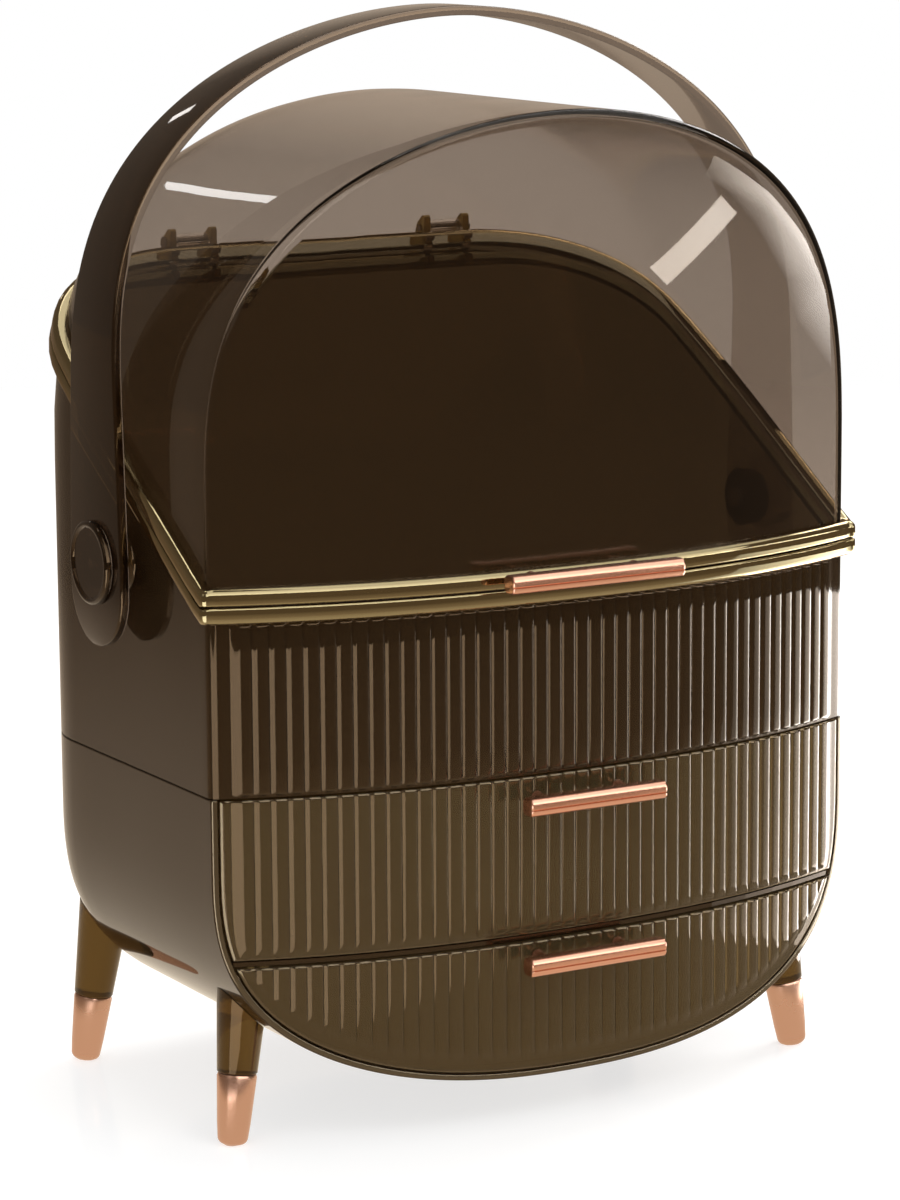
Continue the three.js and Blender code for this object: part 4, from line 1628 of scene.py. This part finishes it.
@dataclass
class Pull:
    """Metal bar on two posts before a front."""

    name: str
    body: Body
    length: float
    height: float
    face_out: float
    bar_height: float = 0.0076
    bar_depth: float = 0.008
    round_radius: float = 0.0026
    end_bevel: float = 0.0009
    stand_off: float = 0.015
    post_radius: float = 0.0026
    post_share: float = 0.6
    groove_drop: float = 0.0008
    groove_width: float = 0.0007
    groove_depth: float = 0.0005
    least_round: float = 0.0003
    neck_share: float = 0.8
    fillet: float = 0.0006
    foot: float = 0.0009
    foot_taper: float = 0.0007
    foot_edge: float = 0.0002
    corner_steps: int = 6
    bevel_steps: int = 4
    post_sides: int = 32
    sharp_angle: float = math.radians(50)

    def bar_section(self, inset: float) -> np.ndarray:
        """Rounded section of the bar, with a groove along its front.

        Args:
            inset: Distance that the section is drawn in by.

        Returns:
            Depths and heights in two columns.
        """
        radius = max(self.round_radius - inset, self.least_round)
        half_depth, half_height = self.bar_depth / 2 - inset, self.bar_height / 2 - inset
        box = rounded_box(half_depth, half_height, radius, self.corner_steps)
        front, half = -half_depth, self.groove_width / 2
        groove = [(front, half), (front + self.groove_depth, 0.0), (front, -half)]
        before, after = np.split(box, 2)
        return np.concatenate([before, np.array(groove) - (0.0, self.groove_drop), after])

    def build(self, finishes: Finishes) -> None:
        """Builds the bar and its posts.

        Args:
            finishes: Materials of the object.
        """
        middle = float(EGG.front_at(0, -self.stand_off))
        half, bevel = self.length / 2, self.end_bevel
        turns = np.linspace(0, math.pi / 2, self.bevel_steps + 1)
        ends = [(-half + bevel * (1 - math.cos(turn)), bevel * (1 - math.sin(turn))) for turn in turns]
        rows = []
        for x, inset in ends + [(-x, inset) for x, inset in reversed(ends)]:
            section = self.bar_section(inset) + (middle, self.height)
            rows.append(np.insert(section, 0, x, axis=1))
        surface = Surface()
        surface.add_solid(rows)
        self.add_posts(surface, middle)
        trim = Trim(sharp_angle=self.sharp_angle)
        name = f"{self.name}_bar"
        make_piece(name, surface, self.body, finishes.gold, (self.name,), trim)

    def add_posts(self, surface: Surface, middle: float) -> None:
        """Adds the two posts, each with a small foot where it meets the front.

        Args:
            surface: Surface of the pull.
            middle: Depth of the middle of the bar.
        """
        start = middle + self.bar_depth / 2
        radius, neck = self.post_radius, self.post_radius * self.neck_share
        for side in (-1, 1):
            x = side * self.length * self.post_share / 2
            end = float(EGG.front_at(x, -self.face_out - PLAN.seat_gap))
            profile = [
                (start, neck + self.foot_edge), (start + self.fillet, neck),
                (end - self.foot - self.foot_taper, neck), (end - self.foot, radius),
                (end - self.foot_edge, radius), (end, radius - self.foot_edge),
            ]
            surface.add_solid(turned(profile, self.post_sides, (x, self.height), along=1))


@dataclass
class Drawer:
    """Open tray behind a fluted front."""

    name: str
    body: Body
    low: float
    high: float
    tray_drop: float
    pull_drop: float
    belly: bool
    inset: float = PLAN.wall + PLAN.slide_gap
    front_thickness: float = 0.0026
    tray_wall: float = 0.0018
    back_gap: float = 0.006
    corner_round: float = 0.006
    tray_front_round: float = 0.002
    tray_columns: tuple[int, int, int] = (60, 16, 12)
    tray_rows: int = 8
    round_steps: int = 6
    pull_length: float = 0.0636
    rib_gap: float = 0.006
    rib_fade: float = 0.003
    rows: int = 26
    border_steps: int = 3
    edge_round: float = 0.001
    edge_steps: int = 5

    @property
    def tray_high(self) -> float:
        """Height of the tray's rim, below the line that the front reaches up to."""
        return self.high + PLAN.slide_gap - self.tray_drop

    def build(self, finishes: Finishes) -> None:
        """Builds the tray, the front and the pull.

        Args:
            finishes: Materials of the object.
        """
        surface = self.belly_tray() if self.belly else self.flat_tray()
        name = f"{self.name}_box"
        make_piece(name, surface, self.body, finishes.drawer, (f"{self.name}_tray",))
        self.build_front(finishes)
        height = self.high + PLAN.slide_gap - self.pull_drop
        Pull(f"{self.name}_pull", self.body, self.pull_length, height, RIBS.height).build(finishes)

    def tray_form(self) -> EggForm:
        """Outline of the tray, with a nearer back and small round corners.

        Returns:
            The outline.
        """
        back = EGG.back_start - self.back_gap + self.inset
        rounds = self.inset + self.corner_round
        return replace(EGG, depth=back, back_round=rounds, front_round=self.tray_front_round)

    def belly_tray(self) -> Surface:
        """Open tray over the belly.

        Returns:
            Its surface.
        """
        form = self.tray_form()
        bowl = Bowl(form, End.BELLY, edge_steps=self.round_steps, turn_steps=self.round_steps)
        top = level_line(self.tray_high)
        surface = Surface()
        rims = []
        for inset in (self.inset, self.inset + self.tray_wall):
            rims.append(bowl.add_skin(surface, inset, top).place(form, inset, top))
        surface.add_grid(np.array(rims), closed=True)
        return surface

    def flat_tray(self) -> Surface:
        """Open tray with a flat floor.

        Returns:
            Its surface.
        """
        front, side, back = self.tray_columns
        stations = Stations.around(
            np.linspace(-1, 1, front), np.linspace(0, 1, side), np.linspace(-1, 1, back), self.round_steps,
        )
        rising = np.linspace(self.low, self.tray_high, self.tray_rows)
        falling = np.linspace(self.tray_high, self.low + self.tray_wall, self.tray_rows)
        loops = [(self.inset, height) for height in rising]
        loops += [(self.inset + self.tray_wall, height) for height in falling]
        form = self.tray_form()
        return Surface.solid([stations.place(form, inset, level_line(height)) for inset, height in loops])

    def rib_columns(self) -> np.ndarray:
        """Places across at which the plate's ribs are sampled.

        Returns:
            Those of the ribs' places that lie on the plate at all heights.
        """
        drawn_in = np.array([self.inset + self.edge_round])
        ends = (self.high,) if self.belly else (self.high, self.low)
        half = min(float(EGG.half_at(np.array([end]), drawn_in)[0]) for end in ends)
        places = RIBS.places()
        return places[np.abs(places) < half - self.edge_round]

    def front_grid(self, drawn_in: float) -> np.ndarray:
        """Places across and heights of the front plate.

        Args:
            drawn_in: Distance that the plate's outline is drawn in by.

        Returns:
            Pairs laid out as rows by columns.
        """
        low, high, inset = self.low + drawn_in, self.high - drawn_in, self.inset + drawn_in
        half = float(EGG.half_at(np.array([high]), np.array([inset]))[0])
        inner = self.rib_columns()
        last = inner[-1]
        margin = np.linspace(-1, 0, self.border_steps + 1)[:-1] * (half - last) + inner[0]
        columns = np.concatenate([margin, inner, -margin[::-1]])
        ease = (1 - np.cos(np.linspace(0, math.pi, self.rows)))[:, None] / 2
        x = np.repeat(columns[None, :], self.rows, axis=0)
        if self.belly:
            bottom = np.minimum(EGG.belly_at(columns, np.full_like(columns, inset)), high)
            return np.stack([x, bottom + (high - bottom) * ease], axis=2)
        z = np.repeat(low + (high - low) * ease, len(columns), axis=1)
        edge = EGG.half_at(z, np.full_like(z, inset))
        squeeze = np.clip((np.abs(x) - last) / (half - last), 0, 1)
        pressed = np.where(squeeze > 0, last + squeeze * (edge - last), np.abs(x))
        return np.stack([np.sign(x) * pressed, z], axis=2)

    def rib_rise(self, places: np.ndarray) -> np.ndarray:
        """How far the flutes stand out, fading above the lower edge and beside the ends.

        Args:
            places: Places across and heights, as pairs.

        Returns:
            A distance for each pair.
        """
        x, z = places[..., 0], places[..., 1]
        if self.belly:
            clear = z - EGG.belly_at(x, np.full_like(x, self.inset)) - self.rib_gap
            side = np.full_like(z, self.rib_fade)
        else:
            clear = z - self.low - self.rib_fade / 2
            side = EGG.half_at(z, np.full_like(z, self.inset)) - np.abs(x) - self.rib_gap / 2
        shares = np.clip(np.stack([clear, side]) / self.rib_fade, 0, 1)
        return RIBS.rise(x) * np.prod(np.sin(shares * math.pi / 2), axis=0)

    @staticmethod
    def front_skin(places: np.ndarray, set_back: float, rise: np.ndarray | float = 0.0) -> np.ndarray:
        """Points of the front plate.

        Args:
            places: Places across and heights, as pairs.
            set_back: Distance behind the bow.
            rise: How far the flutes stand out.

        Returns:
            A point for each pair.
        """
        x = places[..., 0]
        return np.stack([x, EGG.front_at(x, np.full_like(x, set_back)) - rise, places[..., 1]], axis=-1)

    @staticmethod
    def outline(grid: np.ndarray) -> np.ndarray:
        """Closed loop round a grid of places."""
        return np.concatenate([grid[0], grid[1:, -1], grid[-1, :-1][::-1], grid[1:-1, 0][::-1]])

    def build_front(self, finishes: Finishes) -> None:
        """Builds the fluted front plate with its rounded edge.

        Args:
            finishes: Materials of the object.
        """
        surface = Surface()
        face, whole = self.front_grid(self.edge_round), self.front_grid(0.0)
        surface.add_grid(self.front_skin(face, 0.0, self.rib_rise(face)))
        surface.add_grid(self.front_skin(whole, self.front_thickness))
        start, end = self.outline(face), self.outline(whole)
        rise = self.rib_rise(start)
        loops = []
        for turn in np.linspace(0, math.pi / 2, self.edge_steps + 1):
            places = start + (end - start) * math.sin(turn)
            loops.append(self.front_skin(places, self.edge_round * (1 - math.cos(turn)), rise))
        loops.append(self.front_skin(end, self.front_thickness))
        # The rounded edge takes the second finish, the lighter edge copy whose brightness is a painted
        # highlight.
        surface.add_grid(np.array(loops[:-1]), closed=True, finish=1)
        surface.add_grid(np.array(loops[-2:]), closed=True)
        make_piece(
            f"{self.name}_plate", surface, self.body, finishes.drawer, (f"{self.name}_front",),
            accents=(finishes.edge,),
        )


@dataclass
class Handle:
    """Flat arched band that swings on a pivot at each side."""

    low_width: float = 0.047
    top_width: float = 0.027
    end_reach: float = 0.034
    arch_start: float = 0.2965
    top: float = 0.447
    side_power: float = 1.84
    top_power: float = 2.75
    corner: float = 0.0011
    corner_share: float = 0.9
    least_half: float = 0.0004
    arm_rows: int = 34
    round_rows: int = 16
    arch_rows: int = 60
    corner_steps: int = 5

    @property
    def bottom(self) -> float:
        """Height of the lower end of the arms."""
        return PLAN.pivot_height - self.end_reach

    def half_width(self, height: float) -> float:
        """Half width of the band, round at its lower end.

        Args:
            height: Height above the floor.

        Returns:
            Half the width from front to back.
        """
        share = min(1.0, max(0.0, (height - PLAN.pivot_height) / (self.top - PLAN.pivot_height)))
        half = (self.low_width + (self.top_width - self.low_width) * share) / 2
        centre = self.bottom + self.low_width / 2
        if height < centre:
            below = min(1.0, (centre - height) / half)
            return max(half * math.sqrt(1 - below * below), self.least_half)
        return half

    def path(self) -> list[tuple[Pair, Pair, float]]:
        """Path of one half of the band, from the lower end to the top.

        Returns:
            Outer and inner points across and up, each pair with the half width.
        """
        centre = self.bottom + self.low_width / 2
        turns = np.linspace(math.pi / 2, 0, self.round_rows)
        rounds = centre - (centre - self.bottom) * np.sin(turns)
        straight = np.linspace(centre, self.arch_start, self.arm_rows)[1:]
        outer, inner = PLAN.arm_outer, PLAN.arm_inner
        points = [((outer, z), (inner, z), self.half_width(z)) for z in [*rounds, *straight]]
        for angle in np.linspace(math.pi / 2, 0, self.arch_rows)[1:]:
            across = math.sin(angle) ** (2 / self.side_power)
            up = math.cos(angle) ** (2 / self.top_power)
            high = self.arch_start + (self.top - self.arch_start) * up
            low = self.arch_start + (self.top - PLAN.band_thickness - self.arch_start) * up
            points.append(((across * outer, high), (across * inner, low), self.half_width(high)))
        return points

    def section(self, outer: Vector, inner: Vector, half: float) -> list[Place]:
        """Rounded section of the band.

        Args:
            outer: Its outer line, across and up.
            inner: Its inner line.
            half: Its half width.

        Returns:
            Points round the section.
        """
        thick = (outer - inner).length
        corner = min(self.corner, half * self.corner_share)
        points = []
        for level, depth in rounded_box(thick / 2, half, corner, self.corner_steps):
            at = inner + (outer - inner).normalized() * (thick / 2 + level)
            points.append((at.x, PLAN.pivot_depth + depth, at.y))
        return points

    def build(self, finishes: Finishes) -> None:
        """Builds the band.

        Args:
            finishes: Materials of the object.
        """
        rows = [self.section(Vector(outer), Vector(inner), half) for outer, inner, half in self.path()]
        grid = np.array(rows)
        mirrored = grid[:-1][::-1] * np.array([-1, 1, 1])
        band = Surface.solid(np.concatenate([grid, mirrored]))
        make_piece("handle_band", band, Body.HANDLE, finishes.handle, ("carry_handle",))


@dataclass
class Pivot:
    """Boss on the tray and cap outside the handle, at each side.

    The softened edges of the cap's rim are given in shares of its round, behind the
    outer face and inwards from the rim, or outwards from the dish.
    """

    boss_radius: float = 0.012
    boss_round: float = 0.0012
    cap_radius: float = 0.017
    cap_thickness: float = 0.0032
    rim_width: float = 0.0026
    rim_round: float = 0.001
    back_edge: float = 0.0004
    dish: float = 0.0009
    boss_flare: float = 0.0006
    boss_foot: float = 0.00105
    skin: float = 0.00005
    outer_edge: tuple[Pair, ...] = ((1.0, 0.0), (0.4, 0.3), (0.0, 1.0))
    inner_edge: tuple[Pair, ...] = ((0.0, 0.6), (0.3, 0.1))
    dish_edge: float = 0.4
    sides: int = 72

    def lathe(self, side: int, profile: Profile) -> Surface:
        """Turned shape about the pivot.

        Args:
            side: -1 for the left pivot and 1 for the right.
            profile: Pairs of a reach outwards and a radius.

        Returns:
            Its surface.
        """
        places = [(side * reach, radius) for reach, radius in profile]
        centre = (PLAN.pivot_depth, PLAN.pivot_height)
        return Surface.solid(turned(places, self.sides, centre, along=0))

    def boss_profile(self) -> Profile:
        """Profile of the boss from the tray's wall to its flat end.

        Returns:
            Pairs of a reach outwards and a radius.
        """
        start = EGG.half_width + self.skin
        end = PLAN.arm_inner - PLAN.seat_gap
        return [
            (start, self.boss_radius + self.boss_flare), (start + self.boss_foot, self.boss_radius),
            (end - self.boss_round, self.boss_radius), (end, self.boss_radius - self.boss_round),
        ]

    def cap_profile(self) -> Profile:
        """Profile of the cap from its inner face over the dished outer face.

        Returns:
            Pairs of a reach outwards and a radius.
        """
        inner = PLAN.arm_outer + PLAN.seat_gap
        outer = inner + self.cap_thickness
        radius, middle = self.cap_radius, self.cap_radius / 2
        edge, soft = self.back_edge, self.rim_round
        dish, flat = radius - self.rim_width, outer - self.dish
        rim = [(outer - soft * back, radius - soft * down) for back, down in self.outer_edge]
        rim += [(outer - soft * back, dish + soft * up) for back, up in self.inner_edge]
        start = [(inner, middle), (inner, radius - edge), (inner + edge, radius)]
        return [*start, *rim, (flat, dish - soft * self.dish_edge), (flat, middle)]

    def build(self, finishes: Finishes) -> None:
        """Builds both bosses and caps.

        Args:
            finishes: Materials of the object.
        """
        for side, word in SIDES:
            boss = self.lathe(side, self.boss_profile())
            make_piece(f"pivot_boss_{word}", boss, Body.ROOT, finishes.shell)
            name = f"pivot_cap_{word}"
            cap = self.lathe(side, self.cap_profile())
            make_piece(f"{name}_disc", cap, Body.ROOT, finishes.handle, (name,))


@dataclass
class Hinge:
    """Ears on the tray's rim and knuckle on the lid's, at one place across."""

    centre: float
    word: str
    stand_off: float = 0.0043
    rise: float = 0.0071
    spacing: float = 0.0195
    ear_thickness: float = 0.0032
    ear_height: float = 0.0132
    ear_reach: float = 0.0103
    ear_root: float = 0.0015
    ear_tail: float = 0.002
    tip_radius: float = 0.0016
    boss_radius: float = 0.0034
    front_gap: float = 0.0005
    knuckle_radius: float = 0.0034
    side_gap: float = 0.0004
    leaf: float = 0.0034
    leaf_front: float = PLAN.bead_reach / 5
    bore: float = 0.0018
    edge_round: float = 0.0006
    bevel_angle: float = math.radians(50)
    arc_steps: int = 14
    room_sides: int = 84

    @property
    def rim_back(self) -> float:
        """Depth of the back of the beads."""
        return EGG.depth + PLAN.bead_reach

    @property
    def ear_base(self) -> np.ndarray:
        """Depth and height at which the upright front of an ear leaves the bead."""
        height = float(EGG.parting_at(self.rim_back)) - PLAN.rim_gap / 2
        return np.array((self.rim_back + self.front_gap, height))

    @property
    def ear_tip(self) -> np.ndarray:
        """Depth and height of the centre of an ear's rounded tip."""
        return self.ear_base + (self.tip_radius, self.ear_height - self.tip_radius)

    @property
    def axis(self) -> np.ndarray:
        """Depth and height of the hinge's axis."""
        height = float(EGG.parting_at(self.rim_back)) + self.rise
        return np.array((self.rim_back + self.stand_off, height))

    @property
    def ear_places(self) -> dict[str, float]:
        """Middle of each ear across the width, by its word."""
        return {"inner": self.centre - self.spacing / 2, "outer": self.centre + self.spacing / 2}

    def fin(self, outline: np.ndarray, low: float, high: float) -> Surface:
        """Plate with a bore at the axis.

        Args:
            outline: Depths and heights of its edge.
            low: Place across of its left face.
            high: Place across of its right face.

        Returns:
            Its surface.
        """
        away = outline - self.axis
        hole = self.axis + self.bore * away / np.linalg.norm(away, axis=1)[:, None]
        faces = ((low, hole), (low, outline), (high, outline), (high, hole), (low, hole))
        surface = Surface()
        surface.add_grid(np.array([np.insert(loop, 0, x, axis=1) for x, loop in faces]), closed=True)
        return surface

    def ear_rooms(self) -> list[Surface]:
        """Discs round the axis that the lid's bead leaves free for the ears.

        Returns:
            One closed surface for each ear.
        """
        reach = float(np.linalg.norm(self.ear_tip - self.axis)) + self.tip_radius + PLAN.slide_gap
        half = self.ear_thickness / 2 + self.side_gap
        rooms = []
        for middle in self.ear_places.values():
            profile = ((middle - half, reach), (middle + half, reach))
            rooms.append(Surface.solid(turned(profile, self.room_sides, self.axis, along=0), finish=1))
        return rooms

    def ear_outline(self) -> np.ndarray:
        """Outline of an ear: upright in front, round at its tip, sloping over the pin to its tail.

        Returns:
            Depths and heights in two columns.
        """
        pin, tip = self.axis, self.ear_tip
        front, base = self.ear_base
        rear = np.array((front + self.ear_reach, base))
        root = self.rim_back - self.ear_root
        down, away = pin - tip, rear - pin
        slope = math.atan2(down[1], down[0])
        slope += math.acos((self.tip_radius - self.boss_radius) / np.linalg.norm(down))
        fall = math.atan2(away[1], away[0]) + math.acos(self.boss_radius / np.linalg.norm(away))
        points = [np.array((root, base - self.ear_root * EGG.parting_share)), self.ear_base]
        arcs = ((tip, self.tip_radius, math.pi, slope), (pin, self.boss_radius, slope, fall))
        for centre, radius, start, end in arcs:
            for angle in np.linspace(start, end, self.arc_steps):
                points.append(centre + radius * np.array((math.cos(angle), math.sin(angle))))
        tail = np.array((root, base - PLAN.bead_height - self.ear_tail))
        points += [rear, (rear + tail) / 2, tail]
        return np.array(points)

    def knuckle_outline(self) -> np.ndarray:
        """Outline of the knuckle: a barrel round the pin with a leaf to the lid's bead.

        Returns:
            Depths and heights in two columns.
        """
        depth, height = self.axis
        front = self.rim_back - self.leaf_front
        radius = self.knuckle_radius
        angles = np.linspace(-math.pi / 2, math.pi, self.arc_steps * 2)
        barrel = [(depth + radius * math.cos(angle), height + radius * math.sin(angle)) for angle in angles]
        return np.array([*barrel, (front, height), (front, height - self.leaf)])

    def build(self, finishes: Finishes) -> None:
        """Builds both ears and the knuckle.

        Args:
            finishes: Materials of the object.
        """
        trim = Trim(bevel=self.edge_round, bevel_angle=self.bevel_angle)
        for word, middle in self.ear_places.items():
            low = middle - self.ear_thickness / 2
            fin = self.fin(self.ear_outline(), low, low + self.ear_thickness)
            name = f"hinge_ear_{self.word}_{word}"
            # Ears take the amber finish whose tint is partly a painted glint.
            make_piece(name, fin, Body.ROOT, finishes.ear, (), trim)
        half = self.spacing / 2 - self.ear_thickness / 2 - self.side_gap
        knuckle = self.fin(self.knuckle_outline(), self.centre - half, self.centre + half)
        make_piece(f"hinge_knuckle_{self.word}", knuckle, Body.LID, finishes.knuckle, (), trim)


HINGE_PLACE = 0.062
HINGES = tuple(Hinge(side * HINGE_PLACE, word) for side, word in SIDES)


@dataclass
class Leg:
    """Leaning leg at one corner: a tinted upper part and a metal tip."""

    name: str
    side: int
    end: int
    side_inset: float = 0.014
    front_inset: float = 0.014
    rear_inset: float = 0.024
    lean_across: float = 0.009
    lean_deep: float = 0.005
    top_height: float = 0.070
    top_radius: float = 0.011
    join_height: float = 0.029
    join_radius: float = 0.0082
    join_edge: float = 0.0005
    tip_radius: float = 0.0062
    tip_round: float = 0.003
    sides: int = 48
    rows: int = 10
    round_steps: int = 6
    search_steps: int = 30
    top_shares: tuple[float, ...] = (0.75, 0.5, 0.25)
    taper_shares: tuple[float, ...] = (0.3, 0.6, 0.96)

    def ring(self, along: float, radius: float) -> np.ndarray:
        """Ring of points round the leaning axis.

        Args:
            along: Distance from the foot along the axis.
            radius: Radius of the ring.

        Returns:
            Its points.
        """
        spread = EGG.half_width - self.side_inset
        depth = self.front_inset if self.end < 0 else EGG.depth - self.rear_inset
        foot = Vector((self.side * spread, depth, 0))
        lean = Vector((-self.side * self.lean_across, -self.end * self.lean_deep, self.top_height))
        up = lean.normalized()
        first = up.orthogonal().normalized()
        plane = np.array([first, up.cross(first)])
        return np.array(foot + up * along) + radius * circle(self.sides) @ plane

    def radius_at(self, along: float) -> float:
        """Radius of the upper part at a distance along the axis."""
        share = (along - self.join_height) / (self.top_height - self.join_height)
        return self.join_radius + (self.top_radius - self.join_radius) * share

    def to_belly(self, share: float) -> np.ndarray:
        """Ring where lines along the leg meet the belly.

        Args:
            share: Distance of the lines from the axis, as a share of the radius.

        Returns:
            Its points.
        """
        low, high = np.full(self.sides, self.join_height), np.full(self.sides, self.top_height)
        for _ in range(self.search_steps):
            middle = (low + high) / 2
            rings = [self.ring(along, self.radius_at(along) * share) for along in middle]
            points = np.array([ring[index] for index, ring in enumerate(rings)])
            insets = np.array([EGG.back_inset(depth) for depth in points[:, 1]])
            above = points[:, 2] > EGG.belly_at(points[:, 0], insets) - PLAN.seat_gap
            high = np.where(above, middle, high)
            low = np.where(above, low, middle)
        return points

    def build(self, finishes: Finishes) -> None:
        """Builds the upper part and the tip.

        Args:
            finishes: Materials of the object.
        """
        name = f"leg_{self.name}"
        upper = Surface.solid(self.upper_rows())
        make_piece(f"{name}_upper", upper, Body.ROOT, finishes.leg, (name,))
        name = f"leg_tip_{self.name}"
        tip = Surface.solid(self.tip_rows())
        # The tip's finish is the rose gold made darker as painted shade.
        make_piece(f"{name}_ferrule", tip, Body.ROOT, finishes.shaded_rose_gold, (name,))

    def upper_rows(self) -> list[np.ndarray]:
        """Rings of the tinted upper part, cut by the belly.

        Returns:
            The rings from the join up, then inwards over the cut face.
        """
        join, edge = self.join_height, self.join_edge
        start = self.ring(join + edge, self.radius_at(join + edge))
        end = self.to_belly(1.0)
        rows = [self.ring(join, self.radius_at(join) - edge)]
        rows += [start + (end - start) * share for share in np.linspace(0, 1, self.rows)]
        return rows + [self.to_belly(share) for share in self.top_shares]

    def tip_rows(self) -> list[np.ndarray]:
        """Rings of the metal tip, round at the floor.

        Returns:
            The rings from the floor up, none below it.
        """
        top = self.join_height - PLAN.seat_gap
        flat = self.tip_radius - self.tip_round
        taper = self.join_radius - self.tip_radius
        profile = []
        for angle in np.linspace(0, math.pi / 2, self.round_steps + 1):
            reach = flat + self.tip_round * math.sin(angle)
            profile.append((self.tip_round * (1 - math.cos(angle)), reach))
        profile += [(top * share, self.tip_radius + taper * share) for share in self.taper_shares]
        profile.append((top, self.join_radius - self.join_edge))
        rings = [self.ring(along, radius) for along, radius in profile]
        rings[0][:, 2] = 0.0
        for ring in rings:
            ring[:, 2] = np.maximum(ring[:, 2], 0.0)
        return rings


@dataclass
class KeptNodes:
    """Nodes of the frame that still show: the shelf, the screws and the pins."""

    shelf: str = "drawer_shelf"
    shelf_edge: float = 0.0004
    metal_edge: float = 0.0002
    edge_angle: float = math.radians(40)
    edge_steps: int = 2

    def build(self, finishes: Finishes) -> None:
        """Gives each node its finish and soft edges.

        Args:
            finishes: Materials of the object.
        """
        for name, node in frame["nodes"].items():
            if node.hide_render:
                continue
            plastic = name == self.shelf
            node.data.materials.clear()
            node.data.materials.append(finishes.shell if plastic else finishes.steel)
            smooth(node.data)
            edge = self.shelf_edge if plastic else self.metal_edge
            Trim(edge, self.edge_steps, self.edge_angle, harden=False).round_edges(node)
            LOG.info("%s: kept from the frame", name)


def main() -> None:
    """Builds the whole scene in order."""
    logging.basicConfig(level=logging.INFO, format="%(name)s %(message)s")
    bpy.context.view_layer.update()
    Viewpoint().build()
    Studio().build()
    effects = EffectLibrary()
    finishes = Finishes.build(effects)
    Housing().build(finishes)
    Tray().build(finishes)
    Lid().build(finishes)
    Pull("lid_pull", Body.LID, PLAN.lid_pull_length, PLAN.lid_pull_height, PLAN.bead_reach).build(finishes)
    Drawer(
        "middle_drawer", Body.MIDDLE, low=PLAN.shelf_top + PLAN.slide_gap, high=PLAN.seam - PLAN.slide_gap,
        tray_drop=0.0035, pull_drop=0.009, belly=False,
    ).build(finishes)
    Drawer(
        "bottom_drawer", Body.BOTTOM, low=EGG.belly_bottom, high=PLAN.shelf_under - PLAN.slide_gap,
        tray_drop=0.0032, pull_drop=0.0064, belly=True,
    ).build(finishes)
    Handle().build(finishes)
    Pivot().build(finishes)
    for hinge in HINGES:
        hinge.build(finishes)
    for end, row in ((-1, "front"), (1, "rear")):
        for side, word in SIDES:
            Leg(f"{row}_{word}", side, end).build(finishes)
    KeptNodes().build(finishes)


if __name__ == "__main__":
    main()
